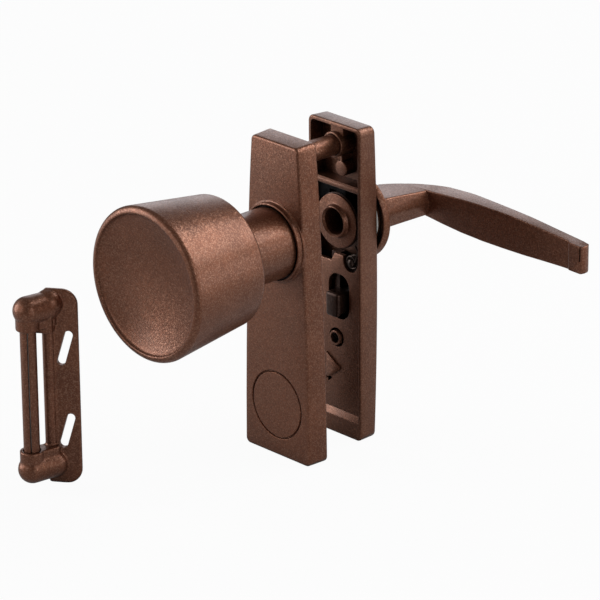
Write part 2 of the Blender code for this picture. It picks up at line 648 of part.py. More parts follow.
def build_inside_housing():
    """Cast inside case, open towards the door, with its bosses and ribs."""
    outline = rounded([(-HOUSING_WIDTH / 2, 0), (HOUSING_WIDTH / 2, 0),
                       (HOUSING_WIDTH / 2, PLATE_HEIGHT), (-HOUSING_WIDTH / 2, PLATE_HEIGHT)],
                      HOUSING_CORNER)
    case = drafted_block("case", outline, DOOR_GAP, HOUSING_BACK_Y, HOUSING_DRAFT, AXIS_Z)
    heights = [PLATE_HEIGHT * k / CROWN_STEPS for k in range(-1, CROWN_STEPS + 2)]
    crown = prism("crown", [(housing_back_y(height), height) for height in heights]
                  + [(HOUSING_BACK_Y + 0.01, heights[-1]), (HOUSING_BACK_Y + 0.01, heights[0])],
                  "YZ", -HOUSING_WIDTH, HOUSING_WIDTH)
    case = evaluated_copy(cut(case, crown))
    case = bevel(case, HOUSING_EDGE, 2, 60.0)
    half = HOUSING_INNER_HALF
    inner = rounded([(-half, BOTTOM_LIP), (half, BOTTOM_LIP),
                     (half, PLATE_HEIGHT - HOUSING_WALL), (-half, PLATE_HEIGHT - HOUSING_WALL)],
                    [0.0004, 0.0004, HOUSING_CORNER - HOUSING_WALL / 2,
                     HOUSING_CORNER - HOUSING_WALL / 2])
    hollow = prism("case_hollow", inner, "XZ", DOOR_GAP - 0.002, HOUSING_INNER_Y)
    slope = prism("slope", [(DOOR_GAP + 0.0006, BOTTOM_LIP - 0.0004),
                            (HOUSING_INNER_Y + 0.0004, BOTTOM_LIP - 0.0004),
                            (HOUSING_INNER_Y + 0.0004, BOTTOM_SLOPE_TOP),
                            (MECH_PLATE_Y + 0.0006, BOTTOM_SLOPE_TOP)],
                  "YZ", -half - 0.0004, half + 0.0004)
    cut(case, hollow, solver=CAST_SOLVER)
    join(case, slope, solver=CAST_SOLVER)
    boss_face = DOOR_GAP + 0.0003
    boss = cylinder("top_boss", TOP_BOSS_RADIUS, (0, boss_face, UPPER_SCREW_Z),
                    (0, HOUSING_INNER_Y + 0.0005, UPPER_SCREW_Z), 32)
    column = box("column", (-TOP_BOSS_RADIUS + 0.0006, boss_face + 0.0008, UPPER_SCREW_Z),
                 (TOP_BOSS_RADIUS - 0.0006, HOUSING_INNER_Y + 0.0005,
                  PLATE_HEIGHT - HOUSING_WALL + 0.0005))
    rib_z = AXIS_Z + CROSS_RIB_ABOVE_AXIS
    rib = box("cross_rib", (-half - 0.0005, DOOR_GAP + 0.0006, rib_z - RIB_THICKNESS / 2),
              (half + 0.0005, HOUSING_INNER_Y + 0.0005, rib_z + RIB_THICKNESS / 2))
    stub_z = AXIS_Z + STUB_ABOVE_AXIS
    stub = cylinder("stub", STUB_RADIUS, (STUB_OFFSET, DOOR_GAP + 0.0018, stub_z),
                    (STUB_OFFSET, HOUSING_INNER_Y + 0.0005, stub_z), 24)
    fin = box("fin", (STUB_OFFSET - 0.0005, DOOR_GAP + 0.0024, stub_z),
              (STUB_OFFSET + 0.0005, HOUSING_INNER_Y + 0.0005, UPPER_SCREW_Z))
    low_boss = cylinder("low_boss", LOW_BOSS_RADIUS,
                        (0, MECH_PLATE_Y - LOW_BOSS_PROUD, LOWER_SCREW_Z),
                        (0, HOUSING_INNER_Y + 0.0005, LOWER_SCREW_Z), 28)
    back_boss = turned("back_boss", [(0, BACK_BOSS_HEIGHT),
                                     (BACK_BOSS_RADIUS - BACK_BOSS_EDGE, BACK_BOSS_HEIGHT),
                                     (BACK_BOSS_RADIUS, BACK_BOSS_HEIGHT - BACK_BOSS_EDGE),
                                     (BACK_BOSS_RADIUS, -0.001), (0, -0.001)],
                       (0, housing_back_y(AXIS_Z), AXIS_Z), (0, 1, 0), 48)
    join(case, boss, column, rib, stub, fin, low_boss, back_boss, solver=CAST_SOLVER)
    post_seat = cylinder("post_seat", POST_RADIUS + GAP, (0, DOOR_GAP - 0.003, UPPER_SCREW_Z),
                         (0, DOOR_GAP + POST_SEAT_DEPTH + GAP, UPPER_SCREW_Z), 28)
    screw_hole = cylinder("screw_hole", SCREW_RADIUS + GAP, (0, DOOR_GAP, UPPER_SCREW_Z),
                          (0, HOUSING_BACK_Y + 0.002, UPPER_SCREW_Z), 20)
    low_hole = cylinder("low_hole", SCREW_RADIUS, (0, DOOR_GAP - 0.002, LOWER_SCREW_Z),
                        (0, HOUSING_BACK_Y + 0.002, LOWER_SCREW_Z), 20)
    hub_hole = cylinder("hub_hole", HUB_SHANK_RADIUS + GAP, (0, DOOR_GAP, AXIS_Z),
                        (0, HOUSING_BACK_Y + 0.01, AXIS_Z), 40)
    window = box("bolt_window", (-HOUSING_WIDTH, bolt_front() - GAP, AXIS_Z + BOLT_BOTTOM - GAP),
                 (-half + 0.001, HOUSING_INNER_Y, AXIS_Z + BOLT_TOP + GAP))
    stem_half = LOCK_STEM_WIDTH / 2 + GAP
    stem_slot = box("stem_slot", (SLOT_OFFSET - stem_half, HOUSING_INNER_Y - 0.001,
                                  LOCK_TAB_Z - LOCK_STEM_HEIGHT / 2 - GAP),
                    (SLOT_OFFSET + stem_half, HOUSING_BACK_Y + 0.001,
                     LOCK_TAB_Z + LOCK_STEM_HEIGHT / 2 + LOCK_TRAVEL + GAP))
    return cut(case, post_seat, screw_hole, low_hole, hub_hole, window, stem_slot,
               solver=CAST_SOLVER)


def cam_front():
    """Front plane of the cam plate, behind the hub's flange."""
    return DOOR_GAP + HUB_FLANGE_THICKNESS / 2 + GAP


def bolt_front():
    """Front plane of the latch bolt, behind the cam plate."""
    return cam_front() + CAM_THICKNESS + GAP


def crank_place():
    """Centre of the hub's crank pin at rest, as x and height above the axis."""
    angle = math.radians(CRANK_REST_ANGLE)
    return CRANK_RADIUS * math.sin(angle), CRANK_RADIUS * math.cos(angle)


def build_lever_hub():
    """Hub with its flange, raised bore, shank and square tenon."""
    front = DOOR_GAP - HUB_FLANGE_THICKNESS / 2
    back = front + HUB_FLANGE_THICKNESS
    tenon_start = ROSETTE_Y - GAP
    hub = turned("hub_turning", [(0, tenon_start), (HUB_SHANK_RADIUS, tenon_start),
                                 (HUB_SHANK_RADIUS, back), (HUB_FLANGE_RADIUS, back),
                                 (HUB_FLANGE_RADIUS, front + 0.0003),
                                 (HUB_FLANGE_RADIUS - 0.0003, front),
                                 (HUB_RING_RADIUS, front),
                                 (HUB_RING_RADIUS - 0.0003, front - HUB_RING_HEIGHT),
                                 (0, front - HUB_RING_HEIGHT)],
                 (0, 0, AXIS_Z), (0, 1, 0), 48)
    half = HUB_TENON_SIDE / 2
    tenon = box("tenon", (-half, tenon_start - 0.0005, AXIS_Z - half),
                (half, tenon_start + HUB_TENON_LENGTH, AXIS_Z + half))
    join(hub, tenon, solver=CAST_SOLVER)
    bore = cylinder("hub_bore", HUB_BORE_RADIUS, (0, front - 0.003, AXIS_Z),
                    (0, DOOR_GAP + SQUARE_HOLE_START, AXIS_Z), 32)
    side = SQUARE_HOLE_SIDE / 2
    square = box("hub_square", (-side, DOOR_GAP, AXIS_Z - side),
                 (side, tenon_start + HUB_TENON_LENGTH + 0.001, AXIS_Z + side))
    return cut(hub, bore, square, solver=CAST_SOLVER)


def build_hub_cam():
    """Cam plate pressed on the hub's shank, with its crank pin."""
    front = cam_front()
    back = front + CAM_THICKNESS
    cam = cylinder("cam", CAM_RADIUS, (0, front, AXIS_Z), (0, back, AXIS_Z), 48)
    across, up = crank_place()
    pin = cylinder("crank_pin", CRANK_PIN_RADIUS, (across, front + 0.0002, AXIS_Z + up),
                   (across, HOUSING_INNER_Y - 2 * GAP, AXIS_Z + up), 20)
    shank = cylinder("cam_hole", HUB_SHANK_RADIUS + GAP, (0, front - 0.001, AXIS_Z),
                     (0, back + 0.001, AXIS_Z), 40)
    join(cam, pin, solver=CAST_SOLVER)
    return cut(cam, shank, solver=CAST_SOLVER)


def build_lever_washer():
    """Thin washer between the housing's boss and the rosette."""
    start = housing_back_y(AXIS_Z) + BACK_BOSS_HEIGHT + GAP
    washer = cylinder("washer", WASHER_RADIUS, (0, start, AXIS_Z),
                      (0, start + WASHER_THICKNESS, AXIS_Z), 40)
    hole = cylinder("washer_hole", HUB_SHANK_RADIUS + GAP, (0, start - 0.001, AXIS_Z),
                    (0, start + 0.002, AXIS_Z), 40)
    return cut(washer, hole)


def build_latch_bolt():
    """Sliding bolt with a rounded nose and a notch for the crank pin."""
    front = bolt_front()
    back = HOUSING_INNER_Y - GAP
    nose = -HOUSING_WIDTH / 2 - BOLT_PROJECTION
    across, up = crank_place()
    outline = rounded([(nose, front), (BOLT_TAIL, front), (BOLT_TAIL, back), (nose, back)],
                      [BOLT_NOSE_ROUND, 0, 0, BOLT_NOSE_ROUND], 5)
    bolt = prism("bolt", outline, "XY", AXIS_Z + BOLT_BOTTOM, AXIS_Z + BOLT_TOP)
    notch_half = CRANK_PIN_RADIUS + 0.00035
    notch = box("notch", (across - notch_half, front - 0.001, AXIS_Z + BOLT_BOTTOM - 0.001),
                (across + notch_half, back + 0.001,
                 AXIS_Z + CRANK_RADIUS + CRANK_PIN_RADIUS + GAP))
    return cut(bolt, notch)


def build_mechanism_plate():
    """Plate over the lower half of the case, stepped and notched at its top."""
    half = HOUSING_INNER_HALF - PLATE_SIDE_CLEARANCE
    top = AXIS_Z - PLATE_TOP_BELOW_AXIS
    low = PLATE_BOTTOM_ABOVE_FLOOR
    start = MECH_PLATE_Y
    back = start + PLATE_THICKNESS
    tongue = SPRING_X - SPRING_RECESS_RADIUS - TONGUE_WIDTH
    outline = [(-half, low), (half, low), (half, top), (tongue, top),
               (tongue - NOTCH_SLANT, top - NOTCH_HEIGHT), (-half, top - NOTCH_HEIGHT)]
    plate = prism("mech_plate", outline, "XZ", start, back)
    tang_outline = [(TANG_OFFSET - TANG_WIDTH / 2, TANG_TOP_Z - TANG_LENGTH),
                    (TANG_OFFSET + TANG_WIDTH / 2, TANG_TOP_Z - TANG_LENGTH * TANG_POINT_SHARE),
                    (TANG_OFFSET - TANG_WIDTH / 2, TANG_TOP_Z)]
    tang = prism("tang", tang_outline, "XZ", start - TANG_PROUD, start + 0.0006)
    join(plate, tang, solver=CAST_SOLVER)
    slot_outline = rounded([(SLOT_OFFSET - SLOT_WIDTH / 2, SLOT_BOTTOM_Z),
                            (SLOT_OFFSET + SLOT_WIDTH / 2, SLOT_BOTTOM_Z),
                            (SLOT_OFFSET + SLOT_WIDTH / 2, SLOT_TOP_Z),
                            (SLOT_OFFSET - SLOT_WIDTH / 2, SLOT_TOP_Z)],
                           SLOT_WIDTH / 2 - 0.0004, 7)
    slot = prism("slot", slot_outline, "XZ", start - 0.001, back + 0.001)
    hole = cylinder("boss_hole", LOW_BOSS_RADIUS + LOW_BOSS_CLEARANCE,
                    (0, start - 0.001, LOWER_SCREW_Z), (0, back + 0.001, LOWER_SCREW_Z), 28)
    spring_z = AXIS_Z - SPRING_BELOW_AXIS
    recess = cylinder("spring_recess", SPRING_RECESS_RADIUS, (SPRING_X, start - 0.001, spring_z),
                      (SPRING_X, back + 0.001, spring_z), 28)
    corner = box("corner_recess", (SPRING_X - SPRING_RECESS_RADIUS, start - 0.001, spring_z),
                 (half + 0.001, back + 0.001, top + 0.001))
    low_corner, tip = tang_outline[0], tang_outline[1]
    slit_outline = [(low_corner[0], low_corner[1] - 4 * GAP), (tip[0], tip[1] - 4 * GAP),
                    (tip[0], tip[1] - GAP), (low_corner[0], low_corner[1] - GAP)]
    slit = prism("tang_slit", slit_outline, "XZ", start - 0.002, back + 0.001)
    return cut(plate, slot, hole, recess, corner, slit, solver=CAST_SOLVER)


def build_lock_bar():
    """Lock slide: tab in the plate's slot, bar towards the hub, and stem."""
    bar_front = MECH_PLATE_Y + PLATE_THICKNESS + GAP
    bar_back = HOUSING_INNER_Y - GAP
    tab_front = MECH_PLATE_Y - LOCK_TAB_PROUD
    low = LOCK_TAB_Z - LOCK_TAB_HEIGHT / 2
    high = LOCK_TAB_Z + LOCK_TAB_HEIGHT / 2
    nib = LOCK_TAB_HEIGHT * 0.12
    outline = [(tab_front, low), (tab_front + 0.0022, low + nib), (bar_back, low + nib),
               (bar_back, high), (tab_front, high)]
    tab = prism("lock_tab", outline, "YZ", SLOT_OFFSET - LOCK_TAB_WIDTH / 2,
                SLOT_OFFSET + LOCK_TAB_WIDTH / 2)
    tab = bevel(tab, 0.0005, 2, 30.0)
    bar = box("lock_bar_up", (LOCK_BAR_OFFSET - LOCK_BAR_WIDTH / 2, bar_front, high - 0.002),
              (LOCK_BAR_OFFSET + LOCK_BAR_WIDTH / 2, bar_back - 0.0004,
               AXIS_Z - LOCK_BAR_TOP_BELOW_AXIS))
    stem = box("lock_stem", (SLOT_OFFSET - LOCK_STEM_WIDTH / 2, bar_back - 0.001,
                             LOCK_TAB_Z - LOCK_STEM_HEIGHT / 2),
               (SLOT_OFFSET + LOCK_STEM_WIDTH / 2, HOUSING_BACK_Y + LOCK_BUTTON_THICKNESS / 2,
                LOCK_TAB_Z + LOCK_STEM_HEIGHT / 2))
    return join(tab, bar, stem, solver=CAST_SOLVER)


def build_lock_button():
    """Thumb button on the lock slide's stem, with three grip grooves."""
    start = HOUSING_BACK_Y + GAP
    face = start + LOCK_BUTTON_THICKNESS
    across = LOCK_BUTTON_WIDTH / 2
    up = LOCK_BUTTON_HEIGHT / 2
    outline = rounded([(SLOT_OFFSET - across, LOCK_TAB_Z - up),
                       (SLOT_OFFSET + across, LOCK_TAB_Z - up),
                       (SLOT_OFFSET + across, LOCK_TAB_Z + up),
                       (SLOT_OFFSET - across, LOCK_TAB_Z + up)], across - 0.0005, 6)
    button = bevel(prism("lock_button", outline, "XZ", start, face), 0.0006, 2, 60.0)
    pocket = box("stem_pocket", (SLOT_OFFSET - LOCK_STEM_WIDTH / 2 - GAP, start - 0.001,
                                 LOCK_TAB_Z - LOCK_STEM_HEIGHT / 2 - GAP),
                 (SLOT_OFFSET + LOCK_STEM_WIDTH / 2 + GAP,
                  HOUSING_BACK_Y + LOCK_BUTTON_THICKNESS / 2 + GAP,
                  LOCK_TAB_Z + LOCK_STEM_HEIGHT / 2 + GAP))
    cut(button, pocket)
    for k in (-1, 0, 1):
        groove_z = LOCK_TAB_Z + k * LOCK_BUTTON_HEIGHT / 6
        cut(button, box("grip_groove", (-LOCK_BUTTON_WIDTH, face - 0.0006, groove_z - 0.0005),
                        (LOCK_BUTTON_WIDTH, face + 0.001, groove_z + 0.0005)))
    return button


def build_return_spring():
    """Torsion spring: a coil round its stud, one leg on the wall, one free."""
    centre_z = AXIS_Z - SPRING_BELOW_AXIS
    start_y = MECH_PLATE_Y + SPRING_WIRE / 2
    rise = SPRING_TURNS * (SPRING_WIRE + 0.0002)
    radius = SPRING_COIL_RADIUS
    wall_x = HOUSING_INNER_HALF - SPRING_WIRE / 2 - GAP
    points = [(wall_x, start_y, centre_z + radius + SPRING_LEG / 2)]
    sweep = 360 * SPRING_TURNS + 15
    steps = 14 * SPRING_TURNS
    for k in range(steps + 1):
        angle = math.radians(SPRING_START_ANGLE + sweep * k / steps)
        points.append((SPRING_X + radius * math.cos(angle), start_y + rise * k / steps,
                       centre_z + radius * math.sin(angle)))
    end = math.radians(SPRING_START_ANGLE + sweep)
    points.append((points[-1][0] - SPRING_LEG * math.sin(end), start_y + rise,
                   points[-1][2] + SPRING_LEG * math.cos(end)))
    return wire("spring_wire", points, SPRING_WIRE / 2)


def build_spring_stud():
    """Rivet stud that carries the return spring."""
    centre_z = AXIS_Z - SPRING_BELOW_AXIS
    return cylinder("stud", STUD_RADIUS, (SPRING_X, MECH_PLATE_Y - 0.0006, centre_z),
                    (SPRING_X, HOUSING_INNER_Y - GAP, centre_z), 20)


def lever_neck():
    """Faceted neck that grows from the rosette, with an arched outer side."""
    start = ROSETTE_Y + ROSETTE_THICKNESS / 2
    corner = ROSETTE_Y + ROSETTE_THICKNESS + NECK_LENGTH
    far = corner + GRIP_THICKNESS + 0.001
    stations = [(start, -0.0006, 0.0094, 0.0070, NECK_HALF_HEIGHT),
                (corner, 0.0014, 0.0099, 0.0084, NECK_END_HALF_HEIGHT),
                (far, 0.0019, 0.0099, 0.0086, NECK_END_HALF_HEIGHT)]
    body = bmesh.new()
    rings = []
    for along, middle, crease, top, half in stations:
        section = [(middle + crease, 0), (middle + top, half), (middle - top, half),
                   (middle - crease, 0), (middle - top, -half), (middle + top, -half)]
        rings.append([body.verts.new((x, along, AXIS_Z + z)) for x, z in section])
    for low, high in zip(rings, rings[1:]):
        for k in range(6):
            body.faces.new((low[k], low[(k + 1) % 6], high[(k + 1) % 6], high[k]))
    body.faces.new(rings[0])
    body.faces.new(list(reversed(rings[-1])))
    neck = finish_bmesh("neck", body)
    outside = (-0.02, corner + GRIP_THICKNESS + 0.02)
    _, middle, crease, _, _ = stations[1]
    centre = (middle - crease + NECK_ARCH, corner + GRIP_THICKNESS - NECK_ARCH)
    arch_points = arc(centre, NECK_ARCH, 90, 180, 10)
    shaving = prism("neck_shaving", arch_points + [(-0.03, centre[1]), (-0.03, outside[1]),
                                                   (centre[0], outside[1])],
                    "XY", AXIS_Z - 0.02, AXIS_Z + 0.02)
    over = box("neck_over", (-0.03, corner + GRIP_THICKNESS, AXIS_Z - 0.02),
               (0.03, corner + 0.03, AXIS_Z + 0.02))
    return cut(neck, shaving, over)


def grip_plan():
    """Plan outline of the grip, in x and y."""
    root = ROSETTE_Y + ROSETTE_THICKNESS + NECK_LENGTH
    length = GRIP_LENGTH
    tip = length - GRIP_TIP_LENGTH
    inner = []
    for x in [length * share for share, _ in GRIP_SHAPE if length * share < tip] + [tip]:
        fall = GRIP_FALL * max(0.0, (x - GRIP_FALL_START) / (length - GRIP_FALL_START)) ** 1.45
        inner.append((x, root + 0.0004 - fall))
    step_y = inner[-1][1] - GRIP_TIP_PROUD
    inner += [(tip + 0.0004, step_y), (length - 0.0006, step_y - 0.0006),
              (length, step_y - 0.0001)]
    outer = []
    for x, y in reversed(inner[:-3]):
        thin = 0.0006 * (x / length)
        outer.append((x, y + GRIP_THICKNESS - thin))
    tip_back = [(length + 0.0002, step_y + GRIP_THICKNESS - 0.0008)]
    return inner + tip_back + outer


def grip_elevation():
    """Front outline of the grip, in x and z."""
    length = GRIP_LENGTH
    knots = [(length * share, GRIP_BELLY_HEIGHT * height) for share, height in GRIP_SHAPE]
    knots += [(length, GRIP_TIP_HEIGHT), (length + 0.002, GRIP_TIP_HEIGHT)]
    top = [(x, AXIS_Z + height / 2) for x, height in knots]
    low = [(x, AXIS_Z - height / 2) for x, height in reversed(knots)]
    return low + top


def build_lever():
    """Cast inside lever: rosette, faceted neck and flat grip in one piece."""
    grip = prism("grip", grip_plan(), "XY", AXIS_Z - 0.02, AXIS_Z + 0.02)
    side = prism("grip_side", grip_elevation(), "XZ", ROSETTE_Y, ROSETTE_Y + 0.05)
    combine(grip, side, "INTERSECT")
    grip = evaluated_copy(grip)
    grip = bevel(grip, 0.0007, 2, 50.0)
    rosette = turned("rosette", [(0, ROSETTE_THICKNESS),
                                 (ROSETTE_RADIUS - 0.0010, ROSETTE_THICKNESS),
                                 (ROSETTE_RADIUS - 0.0003, ROSETTE_THICKNESS - 0.0003),
                                 (ROSETTE_RADIUS, ROSETTE_THICKNESS - 0.0008),
                                 ((ROSETTE_RADIUS + ROSETTE_FACE_RADIUS) / 2, 0.0006),
                                 (ROSETTE_FACE_RADIUS, 0), (0, 0)],
                     (0, ROSETTE_Y, AXIS_Z), (0, 1, 0), 56)
    neck = evaluated_copy(lever_neck())
    join(rosette, neck, grip)
    half = HUB_TENON_SIDE / 2 + GAP
    pocket = box("tenon_pocket", (-half, ROSETTE_Y - 0.001, AXIS_Z - half),
                 (half, ROSETTE_Y - GAP + HUB_TENON_LENGTH + 2 * GAP, AXIS_Z + half))
    return cut(rosette, pocket)


def build_upper_screw():
    """Screw through the inside housing into the escutcheon's upper post."""
    face = housing_back_y(UPPER_SCREW_Z) + GAP
    end = HOUSING_BACK_Y - SCREW_REACH
    dome = SCREW_HEAD_RADIUS
    height = SCREW_HEAD_HEIGHT
    profile = [(0, face + height), (dome * 0.5, face + height * 0.93),
               (dome * 0.85, face + height * 0.65), (dome, face + height * 0.25), (dome, face),
               (SCREW_RADIUS, face), (SCREW_RADIUS, end + 0.0008),
               (SCREW_RADIUS - 0.0008, end), (0, end)]
    return turned("screw", profile, (0, 0, UPPER_SCREW_Z), (0, 1, 0), 28)


def build_strike_bracket():
    """Cast strike: slotted flange, rail, and two knuckles for the roller."""
    flange_outline = rounded([(FLANGE_LEFT, 0), (FLANGE_RIGHT, 0), (FLANGE_RIGHT, STRIKE_HEIGHT),
                              (FLANGE_LEFT, STRIKE_HEIGHT)],
                             [0.001, FLANGE_CORNER, FLANGE_CORNER, 0.001], 8)
    flange = prism("flange", flange_outline, "XZ", 0.0, FLANGE_THICKNESS)
    flange = bevel(flange, 0.0004, 2, 60.0)
    rail = cylinder("rail", RAIL_WIDTH / 2, (FLANGE_LEFT + RAIL_WIDTH / 2, 0.0004, 0.004),
                    (FLANGE_LEFT + RAIL_WIDTH / 2, 0.0004, STRIKE_HEIGHT - 0.004), 24)
    join(flange, rail, solver=CAST_SOLVER)
    middle = STRIKE_HEIGHT / 2
    ends = ((-1, KNUCKLE_RADIUS + KNUCKLE_INSET),
            (1, STRIKE_HEIGHT - KNUCKLE_RADIUS - KNUCKLE_INSET))
    for side, ball_z in ends:
        axis = (ROLLER_X, -ROLLER_STANDOFF)
        rim_z = middle + side * (middle - COLLAR_REACH)
        ball = sphere("knuckle", KNUCKLE_RADIUS, (*axis, ball_z))
        collar = cylinder("knuckle_collar", COLLAR_OUTER, (*axis, rim_z), (*axis, ball_z), 24)
        shoulder = (FLANGE_LEFT + 0.0020, 0.0)
        arm = cylinder("arm", KNUCKLE_RADIUS, (*axis, ball_z), (*shoulder, ball_z), 20,
                       KNUCKLE_RADIUS * 0.98)
        hip = sphere("hip", KNUCKLE_RADIUS * 0.98, (*shoulder, ball_z))
        web = prism("arm_web", rounded([(axis[0] - 0.003, axis[1] - 0.0022),
                                        (axis[0] + 0.0014, axis[1] - 0.0035),
                                        (shoulder[0] + 0.0028, -0.0020),
                                        (shoulder[0] + 0.0028, 0.0010),
                                        (shoulder[0] - 0.0022, 0.0010),
                                        (axis[0] - 0.0032, axis[1] + 0.0026)], 0.0008, 3),
                    "XY", min(rim_z, ball_z), max(rim_z, ball_z))
        join(flange, ball, collar, arm, hip, web, solver=CAST_SOLVER)
    back = box("jamb_side", (-0.03, FLANGE_THICKNESS, -0.01), (0.03, 0.03, STRIKE_HEIGHT + 0.01))
    cut(flange, back, solver=CAST_SOLVER)
    cup = cylinder("cups", ROLLER_RADIUS + GAP + 0.0001,
                   (ROLLER_X, -ROLLER_STANDOFF, COLLAR_REACH - CUP_DEPTH),
                   (ROLLER_X, -ROLLER_STANDOFF, STRIKE_HEIGHT - COLLAR_REACH + CUP_DEPTH), 32)
    pin_hole = cylinder("pin_hole", ROLLER_RADIUS - ROLLER_WALL,
                        (ROLLER_X, -ROLLER_STANDOFF, -0.001),
                        (ROLLER_X, -ROLLER_STANDOFF,
                         STRIKE_HEIGHT - KNUCKLE_RADIUS - KNUCKLE_INSET), 24)
    cut(flange, cup, pin_hole, solver=CAST_SOLVER)
    for side in (-1, 1):
        centre_z = middle + side * STRIKE_SLOT_OFFSET
        run_x, run_z = STRIKE_SLOT_RUN
        low = Vector((STRIKE_SLOT_X - run_x / 2, centre_z - run_z / 2))
        high = Vector((STRIKE_SLOT_X + run_x / 2, centre_z + run_z / 2))
        tilt = math.degrees(math.atan2(run_z, run_x))
        outline = (arc(high, STRIKE_SLOT_RADIUS, tilt - 90, tilt + 90, 10)
                   + arc(low, STRIKE_SLOT_RADIUS, tilt + 90, tilt + 270, 10))
        cut(flange, prism("strike_slot", outline, "XZ", -0.003, 0.004), solver=CAST_SOLVER)
    return flange


def build_strike_roller():
    """Rolled sleeve of the strike, with its open seam."""
    start = COLLAR_REACH - CUP_DEPTH + GAP
    end = STRIKE_HEIGHT - start
    axis = (ROLLER_X, -ROLLER_STANDOFF)
    sleeve = cylinder("sleeve", ROLLER_RADIUS, (*axis, start), (*axis, end), 40)
    bore = cylinder("sleeve_bore", ROLLER_RADIUS - ROLLER_WALL,
                    (*axis, start - 0.001), (*axis, end + 0.001), 28)
    return cut(sleeve, bore)


def build_strike_pin():
    """Pin on which the sleeve turns."""
    axis = (ROLLER_X, -ROLLER_STANDOFF)
    radius = ROLLER_RADIUS - ROLLER_WALL - GAP
    top = STRIKE_HEIGHT - KNUCKLE_RADIUS - KNUCKLE_INSET - GAP
    return cylinder("pin", radius, (*axis, KNUCKLE_INSET + 0.0012), (*axis, top), 24)


def centre_on_footprint(root):
    """Move the set so that its footprint's middle is the origin."""
    bpy.context.view_layer.update()
    corners = [item.matrix_world @ corner.co for item in PARTS.objects
               if item.type == "MESH" for corner in item.data.vertices]
    low = [min(corner[k] for corner in corners) for k in range(3)]
    high = [max(corner[k] for corner in corners) for k in range(3)]
    root.location = (-(low[0] + high[0]) / 2, -(low[1] + high[1]) / 2, -low[2])


def build_set():
    """Build every piece and hang it on its carrier."""
    paint = make_material("bronze_paint", PAINT, 0.38, 0.75)
    steel = make_material("plated_steel", STEEL, 0.35, 1.0)
    zinc = make_material("zinc", ZINC, 0.45, 1.0)
    root = make_empty("set_frame", (0, 0, 0))
    axis = (0, 0, AXIS_Z)
    strike_root = make_empty("strike_frame", (*STRIKE_PLACE, 0.0), root, STRIKE_YAW)
    door = make_empty("door_frame", (0, 0, 0), root)
    knob_axis = make_empty("knob_axis", axis, root)
    lever_axis = make_empty("lever_axis", axis, root)
    lock_way = make_empty("lock_way", (SLOT_OFFSET, HOUSING_BACK_Y, LOCK_TAB_Z), root)
    bolt_way = make_empty("bolt_way", (0, bolt_front(), AXIS_Z + BOLT_BOTTOM), root)
    zero = (0, 0, 0)
    place_part(build_outside_escutcheon(), "outside_escutcheon", paint, door, zero)
    place_part(build_inside_housing(), "inside_housing", paint, door, zero)
    place_part(build_knob(), "knob", paint, knob_axis, axis)
    place_part(build_knob_ring(), "knob_ring", steel, knob_axis, axis)
    place_part(build_spindle(), "spindle", steel, knob_axis, axis)
    place_part(build_lever(), "lever", paint, lever_axis, axis)
    place_part(build_lever_hub(), "lever_hub", paint, lever_axis, axis)
    place_part(build_hub_cam(), "hub_cam", paint, lever_axis, axis)
    place_part(build_lever_washer(), "lever_washer", steel, lever_axis, axis)
    place_part(build_latch_bolt(), "latch_bolt", zinc, bolt_way,
               bolt_way.location)
    place_part(build_mechanism_plate(), "mechanism_plate", paint, door, zero)
    place_part(build_lock_bar(), "lock_bar", paint, lock_way, lock_way.location)
    place_part(build_lock_button(), "lock_button", paint, lock_way, lock_way.location)
    place_part(build_return_spring(), "return_spring", steel, door, zero)
    place_part(build_spring_stud(), "spring_stud", steel, door, zero)
    place_part(build_upper_screw(), "upper_screw", steel, door, zero)
    place_strike_parts(strike_root, paint, steel)
    centre_on_footprint(root)


def place_strike_parts(carrier, paint, steel):
    """Place the strike's pieces in its own turned frame."""
    for builder, name, material in ((build_strike_bracket, "strike_bracket", paint),
                                    (build_strike_roller, "strike_roller", paint),
                                    (build_strike_pin, "strike_pin", steel)):
        item = place_part(builder(), name, material, carrier, (0, 0, 0))
        item.location = (0, 0, 0)


build_set()
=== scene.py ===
"""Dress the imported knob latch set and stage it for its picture.

Lengths are in millimetres in the set's own frame until a piece is finished:
x = 0 is the middle of the plates, y = 0 the door's outer face, and z = 0 the
surface that the plates stand on. The knob is on the -y side.
"""

import logging
import math
from dataclasses import dataclass, field
from enum import Enum
from typing import Iterable, Optional, Sequence, Union

import bmesh
import bpy
from mathutils import Matrix, Vector

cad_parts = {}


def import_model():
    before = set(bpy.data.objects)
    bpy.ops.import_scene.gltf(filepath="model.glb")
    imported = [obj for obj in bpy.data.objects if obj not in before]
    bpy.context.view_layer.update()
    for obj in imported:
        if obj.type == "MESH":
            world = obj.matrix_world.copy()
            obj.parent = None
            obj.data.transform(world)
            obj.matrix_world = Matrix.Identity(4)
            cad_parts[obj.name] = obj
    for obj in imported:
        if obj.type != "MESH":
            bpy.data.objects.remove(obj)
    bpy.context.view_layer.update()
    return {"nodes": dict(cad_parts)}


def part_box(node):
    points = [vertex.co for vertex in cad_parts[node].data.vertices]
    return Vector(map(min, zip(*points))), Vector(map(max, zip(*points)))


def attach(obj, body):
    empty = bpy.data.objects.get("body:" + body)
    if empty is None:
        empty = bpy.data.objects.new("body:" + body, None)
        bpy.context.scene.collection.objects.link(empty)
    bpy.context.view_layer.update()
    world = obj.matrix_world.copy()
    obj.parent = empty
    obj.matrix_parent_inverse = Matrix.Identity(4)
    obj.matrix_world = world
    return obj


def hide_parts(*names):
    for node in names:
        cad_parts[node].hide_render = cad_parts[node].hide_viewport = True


LOG = logging.getLogger("knob_latch_set")
METRE = 0.001
WHITE = (1.0, 1.0, 1.0, 1.0)
WELD = 0.002
OVERLAP = 0.5
Point = tuple[float, float, float]
Pair = tuple[float, float]
Colour = tuple[float, float, float]


class Slot(Enum):
    """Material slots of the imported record."""

    PAINT = "bronze_paint"
    STEEL = "plated_steel"
    ZINC = "zinc"


